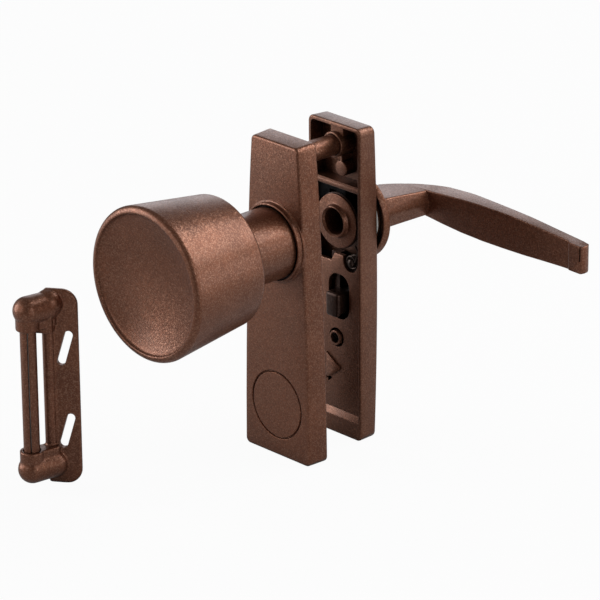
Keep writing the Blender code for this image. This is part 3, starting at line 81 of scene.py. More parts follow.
class Body(Enum):
    """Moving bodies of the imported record."""

    FRAME = "frame"
    KNOB = "knob"
    LEVER = "lever"
    BOLT = "bolt"
    LOCK = "lock"
    ROLLER = "roller"


class Plane(Enum):
    """Planes that a flat outline can be drawn in."""

    XY = Matrix.Identity(4)
    XZ = Matrix(((1, 0, 0), (0, 0, 1), (0, 1, 0))).to_4x4()
    YZ = Matrix(((0, 0, 1), (1, 0, 0), (0, 1, 0))).to_4x4()


def assign(item: object, **values: object) -> None:
    """Set several attributes of an item."""
    for name, value in values.items():
        setattr(item, name, value)


class Signal:
    """A value on its way through a material's nodes."""

    def __init__(self, graph: "Graph", socket: Optional[bpy.types.NodeSocket]) -> None:
        """Hold the socket that carries the value."""
        self.graph = graph
        self.socket = socket

    def _maths(self, operation: str, left: "Value", right: "Value") -> "Signal":
        """Add one Math node."""
        return self.graph.node("ShaderNodeMath", {"operation": operation}, {0: left, 1: right})

    def __add__(self, other: "Value") -> "Signal":
        """Return the sum."""
        return self._maths("ADD", self, other)

    def __radd__(self, other: "Value") -> "Signal":
        """Return the sum."""
        return self._maths("ADD", other, self)

    def __sub__(self, other: "Value") -> "Signal":
        """Return the difference."""
        return self._maths("SUBTRACT", self, other)

    def __rsub__(self, other: "Value") -> "Signal":
        """Return the difference, taken from a number."""
        return self._maths("SUBTRACT", other, self)

    def __mul__(self, other: "Value") -> "Signal":
        """Return the product."""
        return self._maths("MULTIPLY", self, other)

    def __rmul__(self, other: "Value") -> "Signal":
        """Return the product."""
        return self._maths("MULTIPLY", other, self)

    def limited(self) -> "Signal":
        """Return the value held between 0 and 1."""
        return self.graph.node("ShaderNodeClamp", {}, {0: self})


Value = Union[float, Signal]


class Graph:
    """The node graph of one material."""

    def __init__(self, tree: bpy.types.NodeTree) -> None:
        """Hold the tree and empty it."""
        self.tree = tree
        tree.nodes.clear()

    def node(self, kind: str, settings: Optional[dict] = None, values: Optional[dict] = None,
             output: Union[int, str] = 0) -> Signal:
        """Add one node.

        Args:
            kind: The node's type.
            settings: Attributes, set before the sockets.
            values: Numbers or links for the input sockets.
            output: The output to hand on.

        Returns:
            The chosen output.
        """
        item = self.tree.nodes.new(kind)
        assign(item, **(settings or {}))
        for key, value in (values or {}).items():
            if isinstance(value, Signal):
                self.tree.links.new(value.socket, item.inputs[key])
            else:
                item.inputs[key].default_value = value
        return Signal(self, item.outputs[output] if item.outputs else None)

    def place(self) -> Signal:
        """Return the place on the piece, in millimetres."""
        spot = self.node("ShaderNodeTexCoord", output="Object")
        return self.node("ShaderNodeVectorMath", {"operation": "SCALE"},
                         {0: spot, "Scale": 1.0 / METRE})

    def noise(self, place: Signal, scale: float, detail: float = 2.0,
              rough: float = 0.5) -> Signal:
        """Return grey noise, with scale repeats in a millimetre."""
        return self.node("ShaderNodeTexNoise", {"noise_dimensions": "3D"},
                         {"Vector": place, "Scale": scale, "Detail": detail, "Roughness": rough})

    def step(self, value: Signal, low: float, high: float) -> Signal:
        """Return a soft step, from 0 at the low level to 1 at the high one."""
        return self.node("ShaderNodeMapRange", {"interpolation_type": "SMOOTHSTEP"},
                         {0: value, 1: low, 2: high})

    def mix(self, share: Value, first: Union[Colour, Signal],
            second: Union[Colour, Signal]) -> Signal:
        """Return a blend of two colours, share being the second one's."""
        colours = [(*c, 1.0) if isinstance(c, tuple) else c for c in (first, second)]
        return self.node("ShaderNodeMix", {"data_type": "RGBA"},
                         {0: share, 6: colours[0], 7: colours[1]}, 2)

    def soft_normal(self, radius: float) -> Signal:
        """Return the normal with edges rounded at a radius in millimetres."""
        return self.node("ShaderNodeBevel", {"samples": 4}, {"Radius": radius * METRE})

    def edge(self, soft: Signal) -> Signal:
        """Return how far the surface lies on an edge.

        Args:
            soft: The softened normal.

        Returns:
            0 on a flat, rising on an edge.
        """
        flat = self.node("ShaderNodeNewGeometry", output="Normal")
        same = self.vector("DOT_PRODUCT", soft, flat, output="Value")
        return self.step(1.0 - same, 0.01, 0.12)

    def bump(self, height: Signal, depth: float, normal: Signal) -> Signal:
        """Return a normal bent by a height field, whose full step is depth millimetres."""
        return self.node("ShaderNodeBump", values={
            "Height": height, "Distance": depth * METRE, "Strength": 1.0, "Normal": normal})

    def tilt(self, normal: Signal, colours: Signal, strength: float) -> Signal:
        """Return a normal that each flake turns its own way."""
        lean = self.vector("SUBTRACT", colours, (0.5, 0.5, 0.5))
        return self.vector("NORMALIZE",
                           self.vector("MULTIPLY_ADD", lean, (strength,) * 3, normal))

    def vector(self, operation: str, *values: Union[Point, Signal],
               output: Union[int, str] = 0) -> Signal:
        """Add one Vector Math node."""
        return self.node("ShaderNodeVectorMath", {"operation": operation},
                         dict(enumerate(values)), output)

    def ray(self, kind: str) -> Signal:
        """Return 1 for rays of a kind, such as Is Camera Ray."""
        return self.node("ShaderNodeLightPath", output=kind)

    def principled(self, values: dict) -> None:
        """Add the surface shader and the output."""
        self.show(self.node("ShaderNodeBsdfPrincipled", values=values))

    def show(self, shader: Signal, kind: str = "ShaderNodeOutputMaterial") -> None:
        """Link a shader to the output of the material or the world."""
        self.node(kind, values={"Surface": shader})


@dataclass(frozen=True)
class Finish:
    """A surface finish."""

    name: str

    def material(self) -> bpy.types.Material:
        """Return the material, made once."""
        ready = bpy.data.materials.get(self.name)
        if ready is not None:
            return ready
        material = bpy.data.materials.new(self.name)
        material.use_nodes = True
        self.dress(Graph(material.node_tree))
        return material

    def dress(self, graph: Graph) -> None:
        """Build the nodes."""
        raise NotImplementedError


@dataclass(frozen=True)
class FlakePaint(Finish):
    """Baked brown paint with fine metal flake over a casting, with shade painted darker onto its
    edges and into its crevices.
    """

    body: Colour = (0.178, 0.062, 0.030)
    shade: Colour = (0.096, 0.034, 0.017)
    flake: Colour = (0.44, 0.24, 0.16)
    # near-black colour of the shade painted into crevices
    crevice_shade: Colour = (0.012, 0.006, 0.004)
    roughness: float = 0.42
    metallic: float = 0.8
    coat: float = 0.22
    coat_roughness: float = 0.26
    flake_scale: float = 2.6
    flake_tilt: float = 0.16
    peel_scale: float = 1.3
    peel_depth: float = 0.03
    cloud_scale: float = 0.06
    crevice_reach: float = 10.0
    edge_radius: float = 0.35

    def dress(self, graph: Graph) -> None:
        """Build the paint's nodes.

        Args:
            graph: The material's graph.
        """
        place = graph.place()
        flakes = graph.node("ShaderNodeTexVoronoi", {"feature": "F1"},
                            {"Vector": place, "Scale": self.flake_scale}, "Color")
        sparkle = graph.step(graph.node("ShaderNodeSeparateColor", values={0: flakes}), 0.5, 1.0)
        orange_peel = graph.noise(place, self.peel_scale, 3.0, 0.6)
        cloud = graph.noise(place, self.cloud_scale, 3.0, 0.55)
        soft = graph.soft_normal(self.edge_radius)
        edge = graph.edge(soft)
        tone = graph.mix(graph.step(cloud, 0.35, 0.68) * 0.45, self.body, self.shade)
        tone = graph.mix(graph.step(orange_peel, 0.60, 0.38) * 0.45, tone, self.shade)
        tone = graph.mix(sparkle * 0.30, tone, self.flake)
        # painted shade: edges are mixed a quarter of the way to the shade colour
        tone = graph.mix(edge * 0.25, tone, self.shade)
        # painted shade: where ambient occlusion finds the surface hemmed in, in creases,
        # recesses and between parts, the tone goes to the near-black crevice shade colour
        open_sky = graph.node("ShaderNodeAmbientOcclusion", {"samples": 6},
                              {"Distance": self.crevice_reach * METRE}, "AO")
        tone = graph.mix(graph.step(open_sky, 0.52, 0.16), tone, self.crevice_shade)
        rough = self.roughness - sparkle * 0.08 + graph.step(cloud, 0.4, 0.7) * 0.05
        bent = graph.bump(orange_peel, self.peel_depth, soft)
        graph.principled({"Coat Weight": self.coat, "Coat Roughness": self.coat_roughness,
                          "Metallic": self.metallic, "Base Color": tone, "Roughness": rough,
                          "Normal": graph.tilt(bent, flakes, self.flake_tilt)})


@dataclass(frozen=True)
class BareMetal(Finish):
    """Plated or bare metal with fine scratches and a little dulling."""

    body: Colour = (0.33, 0.31, 0.29)
    shade: Colour = (0.16, 0.15, 0.14)
    roughness: float = 0.34
    metallic: float = 1.0
    grain: float = 2.2
    grain_depth: float = 0.006
    cloud_scale: float = 0.35
    edge_radius: float = 0.15

    def dress(self, graph: Graph) -> None:
        """Build the metal's nodes.

        Args:
            graph: The material's graph.
        """
        place = graph.place()
        grain = graph.noise(place, self.grain, 4.0, 0.7)
        dull = graph.step(graph.noise(place, self.cloud_scale, 3.0, 0.5), 0.42, 0.7)
        soft = graph.soft_normal(self.edge_radius)
        graph.principled({"Metallic": self.metallic,
                          "Base Color": graph.mix(dull * 0.6, self.body, self.shade),
                          "Roughness": self.roughness + dull * 0.18 + grain * 0.08,
                          "Normal": graph.bump(grain, self.grain_depth, soft)})


@dataclass(frozen=True)
class PalePaper(Finish):
    """The pale sweep that the set stands on."""

    shade: Colour = (0.62, 0.62, 0.62)
    fibre: Colour = (0.58, 0.58, 0.58)
    lift: float = 0.95
    mirror_lift: float = 0.06

    def dress(self, graph: Graph) -> None:
        """Build the paper's nodes: near white to the camera, with the shadow kept.

        Args:
            graph: The material's graph.
        """
        fibre = graph.noise(graph.place(), 0.9, 3.0, 0.6)
        tone = graph.mix(fibre * 0.05, self.shade, self.fibre)
        paper = graph.node("ShaderNodeBsdfPrincipled", values={
            "Base Color": tone, "Roughness": 0.9, "Specular IOR Level": 0.0})
        glow = graph.node("ShaderNodeEmission", values={"Color": WHITE, "Strength": 1.0})
        seen = ((graph.ray("Is Camera Ray") + graph.ray("Is Transmission Ray")).limited()
                * self.lift + graph.ray("Is Glossy Ray") * self.mirror_lift)
        graph.show(graph.node("ShaderNodeMixShader", values={0: seen, 1: paper, 2: glow}))


PAINT = FlakePaint("flake_paint")
# painted shade: a copy of the paint with darker flakes, for the case and the cover plate,
# standing in for the shade inside the case
SHADED_PAINT = FlakePaint("flake_paint_shaded_inside", body=(0.165, 0.063, 0.033),
                        shade=(0.100, 0.036, 0.019), flake=(0.36, 0.19, 0.12))
PLATED = BareMetal("plated_steel")
# painted shade: a near-black copy of bare zinc for the bolt, standing in for the shade deep in
# the case
SHADED_ZINC = BareMetal("shade_dark_zinc", body=(0.012, 0.011, 0.011), shade=(0.006, 0.006, 0.006),
                    roughness=0.60, grain=1.4)
# painted shade: a near-black copy of the paint for the cam disc and the lock slide, standing in
# for the shade deep in the case
DEEP_SHADE_PAINT = FlakePaint("flake_paint_deep_shade", body=(0.046, 0.021, 0.014),
                        shade=(0.022, 0.010, 0.007), flake=(0.10, 0.055, 0.04), coat=0.06)
SPRING_STEEL = BareMetal("spring_steel", body=(0.070, 0.050, 0.042),
                         shade=(0.030, 0.020, 0.016), roughness=0.30)
NYLON = BareMetal("pale_nylon", body=(0.74, 0.72, 0.68), shade=(0.60, 0.58, 0.55),
                  roughness=0.5, metallic=0.0)
PAPER = PalePaper("pale_paper")


def rounded(points: Sequence[Pair], radii: Union[float, Sequence[float]],
            steps: int = 10) -> list[Pair]:
    """Return an outline whose corners are arcs.

    Args:
        points: Corners, anticlockwise.
        radii: One radius, or one for each corner.
        steps: Pieces of each arc.

    Returns:
        The outline.
    """
    outline = []
    for k, corner in enumerate(points):
        here = Vector(corner)
        radius = radii[k] if isinstance(radii, (list, tuple)) else radii
        if radius <= 0:
            outline.append(tuple(here))
            continue
        before = (Vector(points[k - 1]) - here).normalized()
        after = (Vector(points[(k + 1) % len(points)]) - here).normalized()
        half = before.angle(after) / 2
        centre = here + (before + after).normalized() * radius / math.sin(half)
        start = here + before * radius / math.tan(half) - centre
        end = here + after * radius / math.tan(half) - centre
        sweep = start.angle_signed(end)
        outline += [tuple(centre + Matrix.Rotation(-sweep * n / steps, 2) @ start)
                    for n in range(steps + 1)]
    return outline


def corners(left: float, low: float, right: float, high: float) -> list[Pair]:
    """Return a rectangle's corners, anticlockwise."""
    return [(left, low), (right, low), (right, high), (left, high)]


def dome(radius: float, height: float, steps: int) -> list[Pair]:
    """Return the profile of a round cap, from its crest to its edge.

    Args:
        radius: Radius of the cap's edge.
        height: Height of the crest above the edge.
        steps: Number of pieces.

    Returns:
        Radius and height of each point.
    """
    ball = (radius ** 2 + height ** 2) / (2 * height)
    places = (radius * k / steps for k in range(steps + 1))
    return [(r, math.sqrt(ball ** 2 - r ** 2) - (ball - height)) for r in places]


def put_in_scene(name: str, data: bpy.types.ID) -> bpy.types.Object:
    """Return a new object that is linked to the scene."""
    item = bpy.data.objects.new(name, data)
    bpy.context.scene.collection.objects.link(item)
    return item


def arc(centre: Pair, radius: float, start: float, end: float, steps: int) -> list[Pair]:
    """Return points along an arc between two angles in degrees."""
    angles = (math.radians(start + (end - start) * k / steps) for k in range(steps + 1))
    return [(centre[0] + radius * math.cos(a), centre[1] + radius * math.sin(a)) for a in angles]


class Blank:
    """A solid being made, in millimetres in the set's frame."""

    shift = Vector((0.0, 0.0, 0.0))

    def __init__(self, mesh: bpy.types.Mesh) -> None:
        """Put a mesh in the scene."""
        self.item = put_in_scene("blank", mesh)

    @classmethod
    def from_work(cls, work: bmesh.types.BMesh) -> "Blank":
        """Return a solid from a bmesh, which is freed."""
        bmesh.ops.recalc_face_normals(work, faces=work.faces)
        mesh = bpy.data.meshes.new("blank")
        work.to_mesh(mesh)
        work.free()
        return cls(mesh)

    @classmethod
    def box(cls, low: Point, high: Point) -> "Blank":
        """Return a box between two corners."""
        work = bmesh.new()
        bmesh.ops.create_cube(work, size=1.0)
        bmesh.ops.scale(work, vec=[high[k] - low[k] for k in range(3)], verts=work.verts)
        bmesh.ops.translate(work, vec=[(high[k] + low[k]) / 2 for k in range(3)],
                            verts=work.verts)
        return cls.from_work(work)

    @classmethod
    def bar(cls, radius: float, start: Point, end: Point, steps: int = 64,
            end_radius: Optional[float] = None) -> "Blank":
        """Return a round bar or a cone.

        Args:
            radius: Radius at the start.
            start: Centre of the first end.
            end: Centre of the other end.
            steps: Sides.
            end_radius: Radius at the end, the same by default.

        Returns:
            The bar.
        """
        along = Vector(end) - Vector(start)
        work = bmesh.new()
        bmesh.ops.create_cone(work, cap_ends=True, segments=steps, radius1=radius,
                              radius2=radius if end_radius is None else end_radius,
                              depth=along.length)
        turn = along.to_track_quat("Z", "Y").to_matrix().to_4x4()
        middle = Matrix.Translation((Vector(start) + Vector(end)) / 2)
        bmesh.ops.transform(work, matrix=middle @ turn, verts=work.verts)
        return cls.from_work(work)

    @classmethod
    def rod(cls, radius: float, x: float, z: float, start: float, end: float,
            steps: int = 64) -> "Blank":
        """Return a round bar along y."""
        return cls.bar(radius, (x, start, z), (x, end, z), steps)

    @classmethod
    def beam(cls, half: Pair, x: float, z: float, start: float, end: float) -> "Blank":
        """Return a bar along y of half a width and half a height."""
        return cls.box((x - half[0], start, z - half[1]), (x + half[0], end, z + half[1]))

    @classmethod
    def ball(cls, radius: float, centre: Point) -> "Blank":
        """Return a ball."""
        work = bmesh.new()
        bmesh.ops.create_uvsphere(work, u_segments=48, v_segments=28, radius=radius)
        bmesh.ops.translate(work, vec=centre, verts=work.verts)
        return cls.from_work(work)

    @classmethod
    def turned(cls, profile: Sequence[Pair], centre: Point, towards: Point,
               steps: int = 144) -> "Blank":
        """Return a turned solid.

        Args:
            profile: Radius and distance of each corner, from the far end to the near end.
            centre: Point that distances are measured from.
            towards: Direction of the axis.
            steps: Sides.

        Returns:
            The solid.
        """
        mesh = bpy.data.meshes.new("blank")
        mesh.from_pydata([(radius, 0.0, along) for radius, along in profile],
                         [(k, k + 1) for k in range(len(profile) - 1)], [])
        blank = cls(mesh)
        blank._modify("SCREW", steps=steps, render_steps=steps, use_merge_vertices=True,
                      merge_threshold=WELD)
        turn = Vector(towards).to_track_quat("Z", "Y").to_matrix().to_4x4()
        blank.item.matrix_world = Matrix.Translation(centre) @ turn
        return blank.settle()

    @classmethod
    def slab(cls, outline: Sequence[Pair], plane: Plane, start: float, end: float) -> "Blank":
        """Return a flat outline drawn in a plane and extruded between two levels.

        Args:
            outline: Corners of the outline.
            plane: The plane it is drawn in.
            start: First level.
            end: Second level.

        Returns:
            The slab.
        """
        work = bmesh.new()
        face = work.faces.new([work.verts.new((across, up, start)) for across, up in outline])
        grown = bmesh.ops.extrude_face_region(work, geom=[face])["geom"]
        bmesh.ops.translate(work, vec=(0, 0, end - start),
                            verts=[g for g in grown if isinstance(g, bmesh.types.BMVert)])
        bmesh.ops.transform(work, matrix=plane.value, verts=work.verts)
        return cls.from_work(work)

    @classmethod
    def loft(cls, rings: Sequence[Sequence[Point]]) -> "Blank":
        """Return a solid through rings of equal count, with flat ends."""
        work = bmesh.new()
        made = [[work.verts.new(corner) for corner in ring] for ring in rings]
        count = len(made[0])
        for low, high in zip(made, made[1:]):
            for k in range(count):
                work.faces.new((low[k], low[(k + 1) % count], high[(k + 1) % count], high[k]))
        work.faces.new(made[0])
        work.faces.new(list(reversed(made[-1])))
        return cls.from_work(work)

    @classmethod
    def wire(cls, points: Sequence[Point], radius: float) -> "Blank":
        """Return a round wire through points."""
        curve = bpy.data.curves.new("blank", "CURVE")
        assign(curve, dimensions="3D", bevel_depth=radius, bevel_resolution=4,
               use_fill_caps=True)
        spline = curve.splines.new("POLY")
        spline.points.add(len(points) - 1)
        for point, place in zip(spline.points, points):
            point.co = (*place, 1.0)
        return cls(curve).settle()

    def settle(self) -> "Blank":
        """Apply the modifiers and the placing, and weld the mesh."""
        bpy.context.view_layer.update()
        graph = bpy.context.evaluated_depsgraph_get()
        mesh = bpy.data.meshes.new_from_object(self.item.evaluated_get(graph))
        mesh.transform(self.item.matrix_world)
        bpy.data.objects.remove(self.item, do_unlink=True)
        work = bmesh.new()
        work.from_mesh(mesh)
        bmesh.ops.remove_doubles(work, verts=work.verts, dist=WELD)
        work.to_mesh(mesh)
        work.free()
        self.item = put_in_scene("blank", mesh)
        return self

    def _modify(self, kind: str, **settings: object) -> None:
        """Add one modifier and set it."""
        assign(self.item.modifiers.new("shape", kind), **settings)

    def _combine(self, operation: str, others: Iterable["Blank"]) -> "Blank":
        """Combine with other solids, which are used up.

        Args:
            operation: Name of the Boolean operation.
            others: The other solids.

        Returns:
            This solid.
        """
        for other in others:
            self._modify("BOOLEAN", operation=operation, object=other.item, solver="MANIFOLD")
            self.settle()
            bpy.data.objects.remove(other.item, do_unlink=True)
        return self

    def cut(self, *others: "Blank") -> "Blank":
        """Take solids away."""
        return self._combine("DIFFERENCE", others)

    def join(self, *others: "Blank") -> "Blank":
        """Unite with solids."""
        return self._combine("UNION", others)

    def merge(self, *others: "Blank") -> "Blank":
        """Put overlapping solids in one mesh, for a cast skin over all of them."""
        work = bmesh.new()
        work.from_mesh(self.item.data)
        for other in others:
            work.from_mesh(other.item.data)
            bpy.data.objects.remove(other.item, do_unlink=True)
        work.to_mesh(self.item.data)
        work.free()
        return self

    def keep(self, *others: "Blank") -> "Blank":
        """Keep what lies in the other solids too."""
        return self._combine("INTERSECT", others)

    def taper(self, face: float, draft: float, middle: float) -> "Blank":
        """Draw in the corners of one face, as a casting's draft does.

        Args:
            face: The face's place along y.
            draft: How far its corners move.
            middle: Height above which they come down as well.

        Returns:
            This solid.
        """
        for corner in self.item.data.vertices:
            if abs(corner.co.y - face) < WELD:
                corner.co.x -= math.copysign(draft, corner.co.x)
                if corner.co.z > middle:
                    corner.co.z -= draft
        return self

    def soften(self, width: float, segments: int = 3, angle: float = 60.0) -> "Blank":
        """Round the sharp edges.

        Args:
            width: Width of the rounding.
            segments: Pieces of the rounding.
            angle: Least angle of an edge that is rounded, in degrees.

        Returns:
            This solid.
        """
        self._modify("BEVEL", width=width, segments=segments, limit_method="ANGLE",
                     angle_limit=math.radians(angle), use_clamp_overlap=True)
        return self.settle()

    def cast(self, voxel: float, passes: int) -> "Blank":
        """Turn a joined solid into one cast skin with small fillets.

        Args:
            voxel: Grain of the skin.
            passes: Smoothing passes.

        Returns:
            This solid.
        """
        self._modify("REMESH", mode="VOXEL", voxel_size=voxel, adaptivity=0.0)
        self._modify("SMOOTH", factor=0.5, iterations=passes)
        return self.settle()

    def move(self, matrix: Matrix) -> "Blank":
        """Move the solid."""
        self.item.data.transform(matrix)
        return self

    def finish(self, name: str, body: Body, slot: Slot, finish: Finish,
               nodes: Sequence[str] = (), crease: float = 38.0) -> bpy.types.Object:
        """Hand the solid over as a piece of the set.

        Args:
            name: The piece's name.
            body: The body it rides on.
            slot: The material slot it stands for; not used.
            finish: Its finish.
            nodes: The nodes it replaces.
            crease: Least angle that stays sharp, in degrees.

        Returns:
            The piece.
        """
        piece = self.item
        piece.name = name
        piece.data.name = name
        piece.data.transform(Matrix.Translation(self.shift) @ Matrix.Scale(METRE, 4))
        piece.data.materials.clear()
        piece.data.materials.append(finish.material())
        piece.data.shade_smooth()
        piece.data.set_sharp_from_angle(angle=math.radians(crease))
        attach(piece, body.value)
        if nodes:
            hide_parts(*nodes)
        LOG.info("%s: %d faces on %s", name, len(piece.data.polygons), body.value)
        return piece


def in_metres(place: Sequence[float]) -> Vector:
    """Return a place of the set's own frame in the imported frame, in metres."""
    return Vector(place) * METRE + Blank.shift


@dataclass(frozen=True)
class Layout:
    """Places that several pieces share."""

    height: float = 125.0
    axis_z: float = 85.75
    door_gap: float = 21.0
    outer_depth: float = 8.7
    housing_depth: float = 7.9
    housing_crown: float = 1.5
    housing_back: float = 1.2
    upper_screw_z: float = 116.3
    lower_screw_z: float = 38.95
    plate_y: float = 21.8
    back_boss: float = 0.2
    rosette_gap: float = 1.0
    slot_x: float = 1.0

    @property
    def inner_y(self) -> float:
        """Inside face of the housing's back."""
        return self.door_gap + self.housing_depth - self.housing_back

    @property
    def back_y(self) -> float:
        """Crest of the housing's crowned back."""
        return self.door_gap + self.housing_depth + self.housing_crown

    @property
    def rosette_y(self) -> float:
        """Face of the rosette towards the door."""
        return self.back_at(self.axis_z) + self.back_boss + self.rosette_gap

    def back_at(self, z: float) -> float:
        """Return how far the housing's crowned back is from the door's face at a height."""
        share = 2 * z / self.height - 1
        return self.door_gap + self.housing_depth + self.housing_crown * (1 - share ** 2)


LAYOUT = Layout()


@dataclass
class OutsidePlate:
    """The cast outside plate with its collar and the round blank."""

    depth: float = 9.3
    sides: tuple[Pair, ...] = ((0.0, 17.6), (20.0, 17.35), (39.0, 16.9), (55.0, 16.4),
                               (80.0, 15.4), (95.0, 14.65), (105.0, 14.05), (115.0, 13.35),
                               (125.0, 12.5))
    draft: float = 0.4
    corner: float = 2.2
    wall: float = 2.0
    edge: float = 0.9
    collar_radius: float = 15.2
    collar_height: float = 3.0
    collar_wall: float = 1.0
    collar_round: float = 0.45
    collar_root: tuple[Pair, ...] = ((0.0, 0.7), (0.12, 0.5), (0.6, 0.35), (0.7, 0.0),
                                     (0.7, -0.6))
    blank_radius: float = 13.6
    blank_below_axis: float = 65.3
    groove: float = 0.9
    groove_depth: float = 0.75
    post_radius: float = 4.0
    post_entry: float = 1.2
    screw_radius: float = 2.3
    shank_radius: float = 6.9
    lower_post_reach: float = 9.5
    layout: Layout = LAYOUT

    def _outline(self, inset: float) -> list[Pair]:
        """Return the plate's outline, moved in by an inset."""
        low, high = max(inset, 0.0), self.layout.height - max(inset, 0.0)
        right = [(half - inset, min(max(z, low), high)) for z, half in self.sides]
        left = [(-x, z) for x, z in reversed(right)]
        radius = max(self.corner - max(inset, 0.0) * 0.6, 0.8)
        between = [0.0] * (len(right) - 2)
        return rounded(right + left, [radius, *between, radius] * 2)

    def build(self) -> None:
        """Build the plate."""
        deep = self.depth
        plate = Blank.slab(self._outline(-self.draft), Plane.XZ, -deep, 0.0)
        plate.taper(-deep, self.draft, self.layout.axis_z).soften(self.edge, 5)
        plate.cut(Blank.slab(self._outline(self.wall), Plane.XZ, -deep + self.wall, 10.0))
        plate.join(self._collar())
        posts = ((self.layout.upper_screw_z, self.layout.door_gap + self.post_entry, 7.5),
                 (self.layout.lower_screw_z, self.lower_post_reach, -4.0))
        plate.join(*(Blank.rod(self.post_radius, 0, z, -deep + self.wall / 2, end).soften(0.35)
                     for z, end, _ in posts))
        plate.cut(*(Blank.rod(self.screw_radius, 0, z, bore, end + 1, 40)
                    for z, end, bore in posts),
                  Blank.rod(self.shank_radius, 0, self.layout.axis_z, -20, 0),
                  self._blank_groove())
        plate.finish("outside_plate", Body.FRAME, Slot.PAINT, PAINT, ["outside_escutcheon"])

    def _collar(self) -> Blank:
        """Return the collar ring that stands round the knob's hole."""
        deep, top, radius = self.depth, self.collar_round, self.collar_radius
        rim = self.layout.outer_depth + self.collar_height - top
        bore = radius - self.collar_wall
        profile = [(0, deep), (bore, deep), *arc((bore + top, rim), top, 180, 90, 5),
                   *arc((radius - top, rim), top, 90, 0, 5)]
        profile += [(radius + out, deep + up) for out, up in self.collar_root]
        profile += [(0, deep - 0.6)]
        return Blank.turned(profile, (0, 0, self.layout.axis_z), (0, -1, 0))

    def _blank_groove(self) -> Blank:
        """Return the fine ring groove of the round blank."""
        face, floor = self.depth, self.depth - self.groove_depth
        outer, inner = self.blank_radius, self.blank_radius - self.groove
        middle = (outer + inner) / 2
        profile = [(inner, face + 1), (outer, face + 1), (outer, face), (middle + 0.12, floor),
                   (middle - 0.12, floor), (inner, face), (inner, face + 1)]
        return Blank.turned(profile, (0, 0, self.layout.axis_z - self.blank_below_axis),
                            (0, -1, 0), 160)


@dataclass
class OutsideKnob:
    """The hollow cast knob with its dished face, neck and shank."""

    reach: float = 73.6
    front_radius: float = 29.3
    back_radius: float = 25.2
    back_reach: float = 36.9
    rim: float = 2.3
    lip: float = 0.5
    wall_drop: float = 1.3
    dish_depth: float = 5.2
    back_round: float = 1.6
    neck_radius: float = 13.75
    neck_round: float = 0.5
    neck_end: float = 11.0
    journal_radius: float = 10.8
    neck_root: tuple[Pair, ...] = ((1.2, 0.2), (0.5, 0.5), (0.1, 1.1), (0.0, 1.8))
    shank_radius: float = 6.6
    shank_end: float = 3.4
    square_half: float = 3.48
    square_reach: Pair = (-34.0, 5.0)
    layout: Layout = LAYOUT

    def _profile(self) -> list[Pair]:
        """Return the knob's outer profile, from the dish to the shank's end."""
        crest = self.front_radius - self.rim
        wall_top = self.reach - self.wall_drop
        points = [(radius, wall_top - drop) for radius, drop in
                  dome(crest - self.lip - 0.7, self.dish_depth - self.wall_drop, 24)]
        points += [(crest - self.lip - 0.25, wall_top + 0.3)]
        points += arc((crest, self.reach - self.lip), self.lip, 170, 90, 5)
        points += arc((crest, self.reach - self.rim), self.rim, 90, 0, 12)[1:]
        turn = self.back_round
        points += arc((self.back_radius - turn, self.back_reach + turn), turn, 0, -90, 8)
        points += [(self.neck_radius + out, self.back_reach - down)
                   for out, down in self.neck_root]
        turn = self.neck_round
        points += arc((self.neck_radius - turn, self.neck_end + turn), turn, 0, -90, 4)
        face, end, shank = OutsidePlate.depth + 0.3, -self.shank_end, self.shank_radius
        points += [(self.journal_radius, self.neck_end), (self.journal_radius, face),
                   (shank, face), (shank, end + 0.5), (shank - 0.5, end), (0, end)]
        return points

    def build(self) -> None:
        """Build the knob."""
        axis_z, half = self.layout.axis_z, self.square_half
        knob = Blank.turned(self._profile(), (0, 0, axis_z), (0, -1, 0), 192)
        knob.cut(Blank.beam((half, half), 0, axis_z, *self.square_reach))
        knob.finish("turned_knob", Body.KNOB, Slot.PAINT, PAINT, ["knob"])


